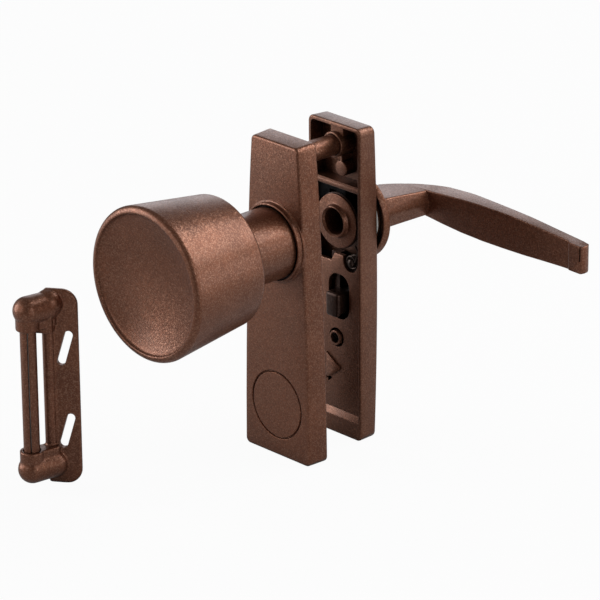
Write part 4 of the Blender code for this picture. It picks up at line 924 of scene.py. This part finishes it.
@dataclass
class InsideHousing:
    """The cast inside case, open towards the door."""

    width: float = 28.1
    draft: float = 0.5
    corner: float = 2.6
    wall: float = 1.5
    edge: float = 0.7
    bottom_lip: float = 7.0
    slope_top: float = 9.6
    back_boss_radius: float = 10.6
    boss_radius: float = 5.0
    boss_proud: float = 1.0
    rib_above: float = 15.4
    rib: float = 1.3
    rail_above: float = 14.5
    rail: float = 1.85
    stub_radius: float = 3.0
    stub_above: float = 20.9
    stub_x: float = 1.6
    low_boss_radius: float = 2.9
    low_boss_proud: float = 1.0
    inner_corners: tuple[float, ...] = (0.4, 0.4, 1.75, 1.75)
    column: Pair = (-2.8, 3.6)
    fin_half: float = 0.5
    bolt_window: Pair = (6.1, 14.5)
    tab_window: tuple[float, ...] = (-1.4, 3.4, -3.8, 7.8)
    post_hole: float = 4.2
    upper_bore: float = 2.3
    lower_bore: float = 2.15
    shank_bore: float = 6.3
    layout: Layout = LAYOUT

    def build(self) -> None:
        """Build the case."""
        gap, back = self.layout.door_gap, self.layout.back_y
        inner_y, height = self.layout.inner_y, self.layout.height
        half_out, half = self.width / 2, self.width / 2 - self.wall
        case = Blank.slab(rounded(corners(-half_out, 0, half_out, height), self.corner),
                          Plane.XZ, gap, back)
        case.taper(back, self.draft, self.layout.axis_z)
        heights = [height * k / 40 for k in range(-1, 42)]
        case.cut(Blank.slab([(self.layout.back_at(z), z) for z in heights]
                            + [(back + 10, heights[-1]), (back + 10, heights[0])],
                            Plane.YZ, -self.width, self.width))
        case.soften(self.edge, 4)
        inner = rounded(corners(-half, self.bottom_lip, half, height - self.wall),
                        self.inner_corners)
        case.cut(Blank.slab(inner, Plane.XZ, gap - 2, inner_y))
        case.join(*self._inner_forms(half, inner_y))
        case.cut(*self._openings(half, inner_y))
        case.finish("inside_case", Body.FRAME, Slot.PAINT, SHADED_PAINT, ["inside_housing"])

    def _inner_forms(self, half: float, inner_y: float) -> list[Blank]:
        """Return the bosses, ribs and slope inside the case.

        Args:
            half: Half the inner width.
            inner_y: Inside face of the case's back.

        Returns:
            The forms.
        """
        place, axis = self.layout, self.layout.axis_z
        gap, upper_z, stub_z = place.door_gap, place.upper_screw_z, axis + self.stub_above
        lip, into, past = self.bottom_lip - 0.4, inner_y + OVERLAP, half + OVERLAP
        slope = Blank.slab([(gap + 0.1, lip), (inner_y + 0.4, lip),
                            (inner_y + 0.4, self.slope_top),
                            (place.plate_y + 0.6, self.slope_top)],
                           Plane.YZ, -half - 0.4, half + 0.4)
        boss = Blank.rod(self.boss_radius, 0, upper_z, gap - self.boss_proud, into).soften(0.3)
        left, right = self.column
        column = Blank.box((left, gap + 1.1, upper_z),
                           (right, into, place.height - self.wall + OVERLAP))
        rib = Blank.beam((past, self.rib / 2), 0, axis + self.rib_above, gap + 0.6, into)
        rail = Blank.beam((past, self.rail / 2), 0, axis + self.rail_above, gap + 0.3,
                          LatchWorks.bolt_front - 0.5).soften(0.3, 2)
        stub = Blank.rod(self.stub_radius, self.stub_x, stub_z, gap + 1.8, into).soften(0.35)
        fin = Blank.box((self.stub_x - self.fin_half, gap + 2.0, stub_z),
                        (self.stub_x + self.fin_half, into, upper_z))
        low = Blank.rod(self.low_boss_radius, 0, place.lower_screw_z,
                        place.plate_y - self.low_boss_proud, into).soften(0.25)
        seat = Blank.rod(self.back_boss_radius, 0, axis, into,
                         place.back_at(axis) + place.back_boss, 96).soften(0.15)
        return [slope, boss, column, rib, rail, stub, fin, low, seat]

    def _openings(self, half: float, inner_y: float) -> list[Blank]:
        """Return the holes and windows of the case.

        Args:
            half: Half the inner width.
            inner_y: Inside face of the case's back.

        Returns:
            The cutters.
        """
        gap, back, axis = self.layout.door_gap, self.layout.back_y, self.layout.axis_z
        upper_z, tab_z = self.layout.upper_screw_z, LatchWorks.tab_z
        left, right, low, high = self.tab_window
        return [Blank.rod(self.post_hole, 0, upper_z, gap - 3, gap + 1.5),
                Blank.rod(self.upper_bore, 0, upper_z, gap, back + 2, 40),
                Blank.rod(self.lower_bore, 0, self.layout.lower_screw_z, gap - 2, back + 2, 40),
                Blank.rod(self.shank_bore, 0, axis, gap, back + 10),
                Blank.box((-self.width, LatchWorks.bolt_front - 0.3, axis + self.bolt_window[0]),
                          (-half + 1, inner_y, axis + self.bolt_window[1])),
                Blank.box((left, inner_y - 1, tab_z + low), (right, back + 1, tab_z + high))]


@dataclass
class LatchWorks:
    """The mechanism in the open case."""

    tab_z: float = 53.85
    tab_half: float = 3.5
    tab_proud: float = 3.5
    tab_edge: tuple[float, ...] = (-5.6, 2.2, -4.4, 4.3)
    tab_neck: Pair = (2.1, 3.5)
    bar_sides: Pair = (-4.5, -0.3)
    button: Pair = (4.5, 7.5)
    button_recess: Pair = (2.4, 3.8)
    button_grooves: tuple[float, ...] = (-2.5, 0.0, 2.5)
    button_gap: float = 0.3
    button_thickness: float = 3.6
    bolt_front: float = 23.75
    bolt_nose: float = -20.7
    bolt_end: float = 3.3
    bolt_band: Pair = (6.4, 14.2)
    bolt_slot: float = 1.95
    bolt_slot_top: float = 11.1
    cam_front: float = 22.8
    cam_radius: float = 10.9
    cam_thickness: float = 0.7
    cam_bore: float = 6.3
    crank_reach: float = 9.2
    crank_angle: float = -22.5
    crank_pin: float = 1.6
    flange_front: float = 21.8
    flange_radius: float = 10.6
    flange_thickness: float = 0.9
    ring_radius: float = 6.15
    ring_height: float = 1.75
    bore_radius: float = 5.1
    bore_end: float = 29.8
    shank_radius: float = 6.0
    tenon_half: float = 4.4
    square_half: float = 3.375
    plate_thickness: float = 1.8
    plate_half: float = 11.8
    plate_low: float = 9.8
    plate_drop: float = 12.9
    plate_step: float = 3.35
    slot_sides: Pair = (-5.1, 5.9)
    slot_drop: float = 38.9
    slot_length: float = 18.0
    slot_round: float = 4.7
    boss_hole: float = 3.8
    tang: tuple[Pair, ...] = ((-5.2, 21.0), (2.0, 26.2), (1.7, 27.6), (-5.2, 32.0))
    pit: tuple[Pair, ...] = ((-4.6, 19.9), (-2.3, 21.9), (-5.1, 22.2))
    spring_radius: float = 2.5
    spring_wire: float = 0.4
    spring_x: float = 7.6
    spring_below: float = 14.8
    spring_rise: float = 3.0
    spring_start: float = 20.0
    spring_sweep: float = 1095.0
    spring_leg: float = 5.2
    stud: tuple[Pair, ...] = ((0.0, 5.0), (1.6, 5.0), (1.6, 0.5), (1.3, 0.1), (0.7, -0.2),
                              (0.0, -0.3))
    layout: Layout = LAYOUT

    @property
    def crank(self) -> Pair:
        """Place of the crank pin, in x and z."""
        angle = math.radians(self.crank_angle)
        return (self.crank_reach * math.sin(angle),
                self.layout.axis_z + self.crank_reach * math.cos(angle))

    def build(self) -> None:
        """Build every piece of the mechanism."""
        self._hub()
        self._cam()
        self._cover()
        self._slide()
        self._button()
        self._spring()
        self._stud()
        self._bolt()

    def _hub(self) -> None:
        """Build the lever's hub."""
        axis, front, flange = self.layout.axis_z, self.flange_front, self.flange_radius
        ring, ring_end = self.ring_radius, self.flange_front - self.ring_height
        tenon, back = self.layout.rosette_y - 0.3, front + self.flange_thickness
        profile = [(0, tenon), (self.shank_radius, tenon), (self.shank_radius, back),
                   (flange, back), *arc((flange - 0.35, front + 0.35), 0.35, 0, -90, 4),
                   (ring + 1.0, front), (ring + 0.55, front - 0.1), (ring + 0.4, front - 0.4),
                   *arc((ring - 0.35, ring_end + 0.35), 0.35, 0, -90, 4), (0, ring_end)]
        hub = Blank.turned(profile, (0, 0, axis), (0, 1, 0), 128)
        hub.join(Blank.beam((self.tenon_half,) * 2, 0, axis, tenon - 0.5, tenon + 2.1))
        hub.cut(Blank.bar(self.bore_radius + 0.75, (0, ring_end - 0.1, axis),
                          (0, ring_end + 0.8, axis), 64, self.bore_radius),
                Blank.rod(self.bore_radius, 0, axis, front - 3, self.bore_end),
                Blank.beam((self.square_half,) * 2, 0, axis, 21, 35))
        hub.finish("hub_casting", Body.LEVER, Slot.PAINT, PAINT, ["lever_hub"])

    def _cam(self) -> None:
        """Build the cam plate with its crank pin."""
        axis, front = self.layout.axis_z, self.cam_front
        cam = Blank.rod(self.cam_radius, 0, axis, front, front + self.cam_thickness, 96)
        cam.soften(0.2)
        cam.join(Blank.rod(self.crank_pin, *self.crank, front + 0.2,
                           self.layout.inner_y - 0.6, 32))
        cam.cut(Blank.rod(self.cam_bore, 0, axis, front - 1, front + 3))
        cam.finish("cam_disc", Body.LEVER, Slot.PAINT, DEEP_SHADE_PAINT, ["hub_cam"])

    def _cover(self) -> None:
        """Build the stepped cover plate over the lower half of the case."""
        axis, half, low, slot_x = (self.layout.axis_z, self.plate_half, self.plate_low,
                                   self.layout.slot_x)
        top, start = axis - self.plate_drop, self.layout.plate_y
        back, step = start + self.plate_thickness, top - self.plate_step
        outline = [(-half, low), (half, low), (half, top), (-1.1, top), (-2.7, step),
                   (-half, step)]
        cover = Blank.slab(outline, Plane.XZ, start, back).soften(0.25)
        cover.join(Blank.slab(self.tang, Plane.XZ, start - 0.8, start + 0.6).soften(0.2, 2))
        slot_low = axis - self.slot_drop
        slot = corners(slot_x + self.slot_sides[0], slot_low, slot_x + self.slot_sides[1],
                       slot_low + self.slot_length)
        spring_z, recess = axis - self.spring_below, self.spring_radius + 1.3
        cover.cut(Blank.slab(rounded(slot, self.slot_round, 14), Plane.XZ, start - 1, back + 1),
                  Blank.rod(self.boss_hole, 0, self.layout.lower_screw_z, start - 1, back + 1),
                  Blank.rod(recess, self.spring_x, spring_z, start - 1, back + 1),
                  Blank.box((self.spring_x - recess, start - 1, spring_z),
                            (half + 1, back + 1, top + 1)),
                  Blank.slab(self.pit, Plane.XZ, start - 2, back + 1))
        cover.finish("cover_plate", Body.FRAME, Slot.PAINT, SHADED_PAINT, ["mechanism_plate"])

    def _slide(self) -> None:
        """Build the lock slide with the tab in the plate's slot."""
        x, z, half = self.layout.slot_x, self.tab_z, self.tab_half
        front, back = self.layout.plate_y - self.tab_proud, self.layout.inner_y - 0.3
        low, step, shelf, top = self.tab_edge
        outline = [(front, z + low), (front + step, z + shelf), (back, z + shelf),
                   (back, z + top), (front, z + top)]
        slide = Blank.slab(outline, Plane.YZ, x - half, x + half).soften(1.2, 5, 30.0)
        left, right = self.bar_sides
        slide.join(Blank.box((left, self.layout.plate_y + 2.1, z + 3),
                             (right, back - 0.4, self.layout.axis_z - 13.4)),
                   Blank.beam(self.tab_neck, x, z, back - 1, self.layout.back_y + 1.8))
        slide.finish("lock_slide", Body.LOCK, Slot.PAINT, DEEP_SHADE_PAINT, ["lock_bar"])

    def _button(self) -> None:
        """Build the slide's thumb button with its three grooves."""
        x, z, start = self.layout.slot_x, self.tab_z, self.layout.back_y + self.button_gap
        wide, tall = self.button
        outline = rounded(corners(x - wide, z - tall, x + wide, z + tall), 4.0, 12)
        button = Blank.slab(outline, Plane.XZ, start, start + self.button_thickness)
        button.soften(0.6, 4)
        button.cut(Blank.beam(self.button_recess, x, z, start - 1, start + 1.8),
                   *(Blank.bar(0.7, (x - 6, start + 3.85, z + rise),
                               (x + 6, start + 3.85, z + rise), 32)
                     for rise in self.button_grooves))
        button.finish("thumb_button", Body.LOCK, Slot.PAINT, PAINT, ["lock_button"])

    def _spring(self) -> None:
        """Build the return spring."""
        z, radius = self.layout.axis_z - self.spring_below, self.spring_radius
        start_y, rise = self.layout.plate_y + self.spring_wire, self.spring_rise
        points = [(11.5, start_y, z + radius + 2.6)]
        for k in range(97):
            angle = math.radians(self.spring_start + self.spring_sweep * k / 96)
            points.append((self.spring_x + radius * math.cos(angle), start_y + rise * k / 96,
                           z + radius * math.sin(angle)))
        points.append((points[-1][0] - self.spring_leg * math.sin(angle), start_y + rise,
                       points[-1][2] + self.spring_leg * math.cos(angle)))
        Blank.wire(points, self.spring_wire).finish(
            "coil_spring", Body.FRAME, Slot.STEEL, SPRING_STEEL, ["return_spring"], 60.0)

    def _stud(self) -> None:
        """Build the rivet stud that carries the spring."""
        foot = (self.spring_x, self.layout.plate_y - 0.3, self.layout.axis_z - self.spring_below)
        Blank.turned(self.stud, foot, (0, 1, 0), 40).finish(
            "rivet_stud", Body.FRAME, Slot.STEEL, SPRING_STEEL, ["spring_stud"])

    def _bolt(self) -> None:
        """Build the latch bolt."""
        axis, front, back = self.layout.axis_z, self.bolt_front, self.layout.inner_y - 0.3
        outline = rounded(corners(self.bolt_nose, front, self.bolt_end, back),
                          (2.1, 0.0, 0.0, 2.1), 10)
        low, high = self.bolt_band
        bolt = Blank.slab(outline, Plane.XY, axis + low, axis + high)
        across, half = self.crank[0], self.bolt_slot
        bolt.cut(Blank.box((across - half, front - 1, axis + 5),
                           (across + half, back + 1, axis + self.bolt_slot_top)))
        bolt.soften(0.25, 3, 80.0)
        bolt.finish("sliding_bolt", Body.BOLT, Slot.ZINC, SHADED_ZINC, ["latch_bolt"])


@dataclass
class InsideLever:
    """The cast inside lever: rosette, faceted neck and grip."""

    rosette_radius: float = 17.0
    face_radius: float = 15.8
    cup_radius: float = 15.4
    cup_inner: float = 13.0
    cup_depth: float = 1.5
    thickness: float = 2.6
    neck_length: float = 25.2
    socket_half: float = 4.7
    neck_sections: tuple[tuple[float, ...], ...] = (
        (-0.6, 9.4, 7.0, 6.4), (1.4, 9.9, 8.4, 5.0), (1.9, 9.9, 8.6, 5.0))
    grip_length: float = 92.6
    tip_length: float = 7.2
    tip_proud: float = 0.7
    fall: float = 2.4
    fall_start: float = 35.0
    fall_power: float = 1.45
    arch: float = 27.0
    arch_left: float = -8.5
    outer: tuple[Pair, ...] = ((0.0, 68.2), (18.3, 68.0), (24.7, 67.8), (31.5, 67.2),
                               (38.8, 66.3), (49.2, 65.3), (59.2, 64.5), (69.0, 63.7),
                               (78.9, 62.8), (88.9, 61.9))
    edges: tuple[Point, ...] = ((0.0, 5.0, -5.0), (5.0, 5.0, -5.0), (11.0, 5.2, -5.5),
                                (18.0, 5.6, -6.3), (28.0, 6.25, -7.15), (39.0, 6.55, -7.55),
                                (50.0, 6.65, -7.4), (61.0, 6.5, -7.0), (72.0, 6.0, -6.3),
                                (82.0, 5.6, -5.7), (94.6, 5.1, -5.3))
    slit: Pair = (0.7, 0.25)
    blank_half: float = 20.0
    layout: Layout = LAYOUT

    @property
    def root(self) -> float:
        """Where the neck turns into the grip, along y."""
        return self.layout.rosette_y + self.thickness + self.neck_length

    def build(self) -> None:
        """Build the lever as one casting."""
        lever = self._rosette()
        lever.join(self._neck(), self._grip())
        start = self.layout.rosette_y
        lever.cut(self._shaving(), Blank.beam((self.socket_half,) * 2, 0, self.layout.axis_z,
                                              start - 1, start + 2.4))
        lever.finish("lever_casting", Body.LEVER, Slot.PAINT, PAINT, ["lever"], 50.0)

    def _rosette(self) -> Blank:
        """Return the round foot of the lever, cupped towards the case."""
        thick, rim, cup = self.thickness, self.rosette_radius, self.cup_depth
        profile = [(0, thick), (rim - 1.0, thick), *arc((rim - 0.8, thick - 0.8), 0.8, 90, 0, 5),
                   (self.face_radius, 0), (self.cup_radius, 0), (self.cup_radius - 0.2, cup),
                   (self.cup_inner + 0.2, cup), (self.cup_inner, 0), (0, 0)]
        return Blank.turned(profile, (0, self.layout.rosette_y, self.layout.axis_z), (0, 1, 0))

    def _neck(self) -> Blank:
        """Return the six-sided neck, from its foot over its corner to its far end.

        Each section gives its middle, its crease, and its top's half width and height.
        """
        axis = self.layout.axis_z
        places = (self.layout.rosette_y + self.thickness / 2, self.root, self.outer[0][1] + 0.5)
        rings = []
        for along, (middle, crease, top, half) in zip(places, self.neck_sections):
            rings.append([(middle + x, along, axis + z) for x, z in
                          ((crease, 0), (top, half), (-top, half), (-crease, 0), (-top, -half),
                           (top, -half))])
        return Blank.loft(rings).soften(0.6, 4, 25.0)

    def _shaving(self) -> Blank:
        """Return what the large arch takes off the corner of neck and grip."""
        axis, far, radius = self.layout.axis_z, self.outer[1][1], self.arch
        x, y = self.arch_left + radius, far - radius
        outline = arc((x, y), radius, 90, 180, 40) + [(-30, y), (-30, far + 10), (x, far + 10)]
        return Blank.slab(outline, Plane.XY, axis - self.blank_half, axis + self.blank_half)

    def _front(self, x: float) -> float:
        """Return the grip's front face at a place along it."""
        share = max(0.0, (x - self.fall_start) / (self.grip_length - self.fall_start))
        return self.root + 0.4 - self.fall * share ** self.fall_power

    def _grip(self) -> Blank:
        """Return the flat grip with its end nose."""
        axis, length = self.layout.axis_z, self.grip_length
        tip, start = length - self.tip_length, self.layout.rosette_y
        inner = [(x, self._front(x)) for x in (5, *range(12, 79, 6), tip)]
        step_y = inner[-1][1] - self.tip_proud
        nose = [(tip + 0.4, step_y), (length - 0.6, step_y - 0.6), (length, step_y - 0.1),
                (length + 0.4, step_y + 1.2), (length + 0.2, step_y + 3.0),
                (length - 0.8, step_y + 4.4)]
        outer = [(x, y) for x, y in reversed(self.outer) if x > 5]
        plan = inner + nose + outer + [(5.0, self.outer[1][1])]
        grip = Blank.slab(plan, Plane.XY, axis - self.blank_half, axis + self.blank_half)
        side = ([(x, axis + low) for x, _, low in reversed(self.edges)]
                + [(x, axis + top) for x, top, _ in self.edges])
        grip.keep(Blank.slab(side, Plane.XZ, start, start + 50)).soften(0.9, 4, 50.0)
        slit_x, half = length - self.slit[0], self.slit[1]
        return grip.cut(Blank.box((slit_x - half, 40, axis - 0.5),
                                  (slit_x + half, step_y + 0.4, axis + self.blank_half)))


@dataclass
class RollerStrike:
    """The cast strike: slotted flange, rail, knuckles, and its roller."""

    yaw: float = 36.0
    place: Pair = (-35.6, -83.3)
    height: float = 77.0
    left: float = -6.2
    right: float = 6.4
    thick: float = 2.0
    corner: float = 6.0
    roller_x: float = -10.6
    standoff: float = 6.8
    roller_radius: float = 3.05
    roller_wall: float = 1.2
    knuckle: float = 5.4
    inset: float = 0.9
    lower_inset: float = 2.6
    collar_reach: float = 15.5
    upper_reach: float = 13.7
    web_reach: float = 15.9
    collar_radius: float = 4.5
    cup: float = 1.2
    rail_radius: float = 2.3
    pin_radius: float = 1.7
    rail_inset: float = 1.3
    rail_end: float = 4.0
    shoulder: float = 2.0
    shoulder_lift: float = 0.8
    shoulder_share: float = 0.98
    voxel: float = 0.34
    smoothing: int = 5
    slots: Pair = (21.25, 54.05)
    slot_ends: tuple[Pair, ...] = ((-0.2, -5.3), (2.85, 5.3))
    slot_radius: float = 1.6
    seam: float = 4.0
    seam_turn: float = -80.0

    @property
    def frame(self) -> Matrix:
        """The strike's own frame."""
        return (Matrix.Translation((*self.place, 0.0))
                @ Matrix.Rotation(math.radians(self.yaw), 4, "Z"))

    @property
    def axis(self) -> Pair:
        """The roller's axis in the strike's frame."""
        return self.roller_x, -self.standoff

    @property
    def top_ball(self) -> float:
        """Height of the upper knuckle's ball."""
        return self.height - self.knuckle - self.inset

    @property
    def top_rim(self) -> float:
        """Height of the upper collar's rim."""
        return self.height - self.upper_reach

    def build(self) -> None:
        """Build the strike, its pin and its roller."""
        self._bracket().move(self.frame).finish(
            "strike_casting", Body.FRAME, Slot.PAINT, PAINT, ["strike_bracket"], 50.0)
        pin = Blank.bar(self.pin_radius, (*self.axis, self.lower_inset + 1.4),
                        (*self.axis, self.top_ball - 0.2), 40)
        pin.soften(0.3).move(self.frame).finish(
            "straight_pin", Body.FRAME, Slot.STEEL, PLATED, ["strike_pin"])
        self._roller().move(self.frame).finish(
            "rolled_sleeve", Body.ROLLER, Slot.PAINT, PAINT, ["strike_roller"])

    def _bracket(self) -> Blank:
        """Return the cast bracket."""
        outline = rounded(corners(self.left, 0, self.right, self.height),
                          (1, self.corner, self.corner, 1), 14)
        flange = Blank.slab(outline, Plane.XZ, 0.0, self.thick).soften(0.5)
        rail_x, end = self.left + self.rail_inset, self.rail_end
        flange.merge(Blank.bar(self.rail_radius, (rail_x, 0.4, end),
                               (rail_x, 0.4, self.height - end), 40),
                     *self._knuckle(self.knuckle + self.lower_inset, self.collar_reach, 0.0),
                     *self._knuckle(self.top_ball, self.top_rim, self.shoulder_lift),
                     Blank.box((self.roller_x + 1.5, -4.6, self.height - self.web_reach),
                               (self.left + 2 * self.shoulder, 0.5, self.top_ball)))
        flange.cast(self.voxel, self.smoothing)
        return flange.cut(
            Blank.box((-30, self.thick - 0.05, -10), (30, 30, self.height + 10)),
            Blank.box((-30, -30, -5), (30, 30, 0.0)),
            Blank.bar(self.roller_radius + 0.4, (*self.axis, self.collar_reach - self.cup),
                      (*self.axis, self.top_rim + self.cup)),
            Blank.bar(self.roller_radius - self.roller_wall, (*self.axis, -1),
                      (*self.axis, self.top_ball), 40),
            *(self._slot(middle) for middle in self.slots))

    def _knuckle(self, ball_z: float, rim_z: float, lift: float) -> list[Blank]:
        """Return one knuckle with its collar and its web.

        Args:
            ball_z: Height of the knuckle's ball.
            rim_z: Height of the collar's rim.
            lift: How much higher the shoulder's ball sits.

        Returns:
            The solids.
        """
        (x, y), ball, foot = self.axis, self.knuckle, self.left + self.shoulder
        neck = ball * self.shoulder_share
        web = rounded([(x - 3, y - 2.2), (x + 1.4, y - 3.5), (foot + 2.8, -2.0),
                       (foot + 2.8, 1.0), (foot - 2.2, 1.0), (x - 3.2, y + 2.6)], 0.8, 4)
        return [Blank.ball(ball, (x, y, ball_z)),
                Blank.bar(self.collar_radius, (x, y, rim_z), (x, y, ball_z)),
                Blank.bar(ball, (x, y, ball_z), (foot, 0.0, ball_z), 48, neck),
                Blank.ball(neck, (foot, 0.0, ball_z + lift)),
                Blank.slab(web, Plane.XY, min(rim_z, ball_z), max(rim_z, ball_z))]

    def _slot(self, middle: float) -> Blank:
        """Return the cutter of one leaning slot.

        Args:
            middle: The slot's middle height.

        Returns:
            The cutter.
        """
        low, high = (Vector((x, middle + rise)) for x, rise in self.slot_ends)
        lean = math.degrees(math.atan2(high.y - low.y, high.x - low.x))
        outline = (arc(high, self.slot_radius, lean - 90, lean + 90, 16)
                   + arc(low, self.slot_radius, lean + 90, lean + 270, 16))
        return Blank.slab(outline, Plane.XZ, -3.0, 4.0)

    def _roller(self) -> Blank:
        """Return the rolled sleeve with its open seam."""
        low, outside = self.collar_reach - self.cup + 0.3, self.roller_radius
        outline = (arc((0, 0), outside, self.seam, 360 - self.seam, 64)
                   + arc((0, 0), outside - self.roller_wall, 360 - self.seam, self.seam, 64))
        sleeve = Blank.slab(outline, Plane.XY, low, self.top_rim + self.cup - 0.3)
        return sleeve.move(Matrix.Translation((*self.axis, 0))
                           @ Matrix.Rotation(math.radians(self.seam_turn), 4, "Z"))


@dataclass
class Fixings:
    """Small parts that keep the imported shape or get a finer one."""

    washer_radius: float = 12.9
    washer_bore: float = 6.3
    head_radius: float = 3.8
    head_height: float = 2.2
    cross: Pair = (0.45, 2.1)
    screw_length: float = 20.0
    layout: Layout = LAYOUT
    finishes: dict[str, Finish] = field(default_factory=lambda: {
        "spindle": PLATED, "knob_ring": PLATED})

    def build(self, nodes: dict[str, bpy.types.Object]) -> None:
        """Build the screw and the washer, and dress the nodes that stay.

        Args:
            nodes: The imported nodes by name.
        """
        self._screw()
        self._washer()
        for name, finish in self.finishes.items():
            mesh = nodes[name].data
            mesh.materials.clear()
            mesh.materials.append(finish.material())
            LOG.info("%s keeps its packed shape", name)

    def _washer(self) -> None:
        """Build the pale washer between the housing and the rosette."""
        axis, face = self.layout.axis_z, self.layout.rosette_y
        start = face - self.layout.rosette_gap + 0.1
        washer = Blank.rod(self.washer_radius, 0, axis, start, face - 0.05, 96).soften(0.15)
        washer.cut(Blank.rod(self.washer_bore, 0, axis, start - 1, start + 3))
        washer.finish("pale_washer", Body.LEVER, Slot.STEEL, NYLON, ["lever_washer"])

    def _screw(self) -> None:
        """Build the cross-head screw of the housing."""
        z = self.layout.upper_screw_z
        face, end = self.layout.back_at(z) + 0.3, self.layout.back_y - self.screw_length
        profile = [(r, face + up) for r, up in dome(self.head_radius, self.head_height, 10)]
        profile += [(2.0, face), (2.0, end + 0.8), (1.2, end), (0, end)]
        screw = Blank.turned(profile, (0, 0, z), (0, 1, 0), 64)
        screw.cut(*(Blank.beam(half, 0, z, face + 0.7, face + 4)
                    for half in (self.cross, self.cross[::-1])))
        screw.finish("cross_screw", Body.FRAME, Slot.STEEL, PLATED, ["upper_screw"])


@dataclass(frozen=True)
class SoftBox:
    """One soft lamp."""

    name: str
    place: Point
    size: Pair
    power: float
    colour: Colour = (1.0, 1.0, 1.0)


@dataclass
class Studio:
    """The floor, the lamps, the world and the camera."""

    azimuth: float = 47.0
    elevation: float = 21.5
    roll: float = -0.5
    centre: Pair = (293.39, 235.27)
    focal: float = 4032.0
    distance: float = 1491.57
    picture: float = 600.0
    sensor: float = 36.0
    floor_size: float = 9000.0
    world_level: float = 0.12
    mirror_level: float = 0.12
    aim: Point = (0.0, 0.0, 60.0)
    lamps: tuple[SoftBox, ...] = (
        SoftBox("main_softbox", (320, 520, 640), (640, 560), 4.9, (0.97, 0.99, 1.0)),
        SoftBox("left_softbox", (-650, -540, 290), (520, 640), 5.0, (0.93, 0.97, 1.0)),
        SoftBox("back_left", (-560, 520, 300), (420, 420), 0.9, (0.86, 0.93, 1.0)),
        SoftBox("front_fill", (-60, -860, 420), (420, 420), 1.0),
        SoftBox("right_back", (640, 540, 170), (360, 300), 0.9),
        SoftBox("right_fill", (760, -60, 300), (320, 520), 1.1))
    layout: Layout = LAYOUT

    def build(self) -> None:
        """Build the studio."""
        self._floor()
        for lamp in self.lamps:
            self._lamp(lamp)
        self._world()
        self._camera()
        bpy.context.scene.view_settings.view_transform = "Standard"

    def _floor(self) -> None:
        """Lay the pale floor."""
        work = bmesh.new()
        bmesh.ops.create_grid(work, x_segments=1, y_segments=1, size=self.floor_size)
        floor = Blank.from_work(work).item
        floor.name = "floor"
        floor.data.transform(Matrix.Scale(METRE, 4))
        floor.data.materials.append(PAPER.material())

    def _lamp(self, lamp: SoftBox) -> None:
        """Hang one soft lamp.

        Args:
            lamp: The lamp.
        """
        light = bpy.data.lights.new(lamp.name, "AREA")
        assign(light, shape="RECTANGLE", size=lamp.size[0] * METRE,
               size_y=lamp.size[1] * METRE, energy=lamp.power, color=lamp.colour)
        item = put_in_scene(lamp.name, light)
        item.location = in_metres(lamp.place)
        towards = in_metres(self.aim) - item.location
        item.rotation_euler = towards.to_track_quat("-Z", "Y").to_euler()

    def _world(self) -> None:
        """Give the world a plain level, white to the camera and in reflections."""
        world = bpy.data.worlds.new("studio")
        bpy.context.scene.world = world
        world.use_nodes = True
        graph = Graph(world.node_tree)
        plain, white = (graph.node("ShaderNodeBackground",
                                   values={"Color": WHITE, "Strength": level})
                        for level in (self.world_level, 1.0))
        seen = graph.ray("Is Camera Ray") + graph.ray("Is Glossy Ray") * self.mirror_level
        graph.show(graph.node("ShaderNodeMixShader",
                              values={0: seen.limited(), 1: plain, 2: white}),
                   "ShaderNodeOutputWorld")

    def _camera(self) -> None:
        """Place the camera where the photograph was taken from."""
        a, e, roll = (math.radians(v) for v in (self.azimuth, self.elevation, self.roll))
        right = Vector((math.cos(a), math.sin(a), 0.0))
        back = Vector((math.sin(a) * math.cos(e), -math.cos(a) * math.cos(e), math.sin(e)))
        up = back.cross(right)
        side = right * math.cos(roll) + up * math.sin(roll)
        high = up * math.cos(roll) - right * math.sin(roll)
        dx = (self.centre[0] - self.picture / 2) / self.focal
        dy = (self.picture / 2 - self.centre[1]) / self.focal
        place = (back - side * dx - high * dy) * self.distance
        place.z += self.layout.axis_z
        data = bpy.data.cameras.new("camera")
        assign(data, sensor_width=self.sensor, clip_start=0.05, clip_end=60.0,
               lens=self.focal / self.picture * self.sensor)
        item = put_in_scene("camera", data)
        turn = Matrix((side, high, back)).transposed().to_4x4()
        item.matrix_world = Matrix.Translation(in_metres(place)) @ turn
        bpy.context.scene.camera = item


def find_shift(collar_height: float, layout: Layout) -> Vector:
    """Return where the set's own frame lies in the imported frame.

    Args:
        collar_height: How far the collar stands off the outside plate.
        layout: The shared places.

    Returns:
        The shift, in metres.
    """
    low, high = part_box("outside_escutcheon")
    reach = (layout.outer_depth + collar_height) * METRE
    return Vector(((low.x + high.x) / 2, low.y + reach, 0.0))


def main() -> None:
    """Dress the set and stage it."""
    logging.basicConfig(level=logging.INFO, format="%(name)s: %(message)s")
    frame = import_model()
    plate = OutsidePlate()
    Blank.shift = find_shift(plate.collar_height, LAYOUT)
    for part in (plate, OutsideKnob(), InsideHousing(), LatchWorks(), InsideLever(),
                 RollerStrike()):
        part.build()
    Fixings().build(frame["nodes"])
    Studio().build()
    bpy.context.view_layer.update()
    LOG.info("boxes written")


if __name__ == "__main__":
    main()
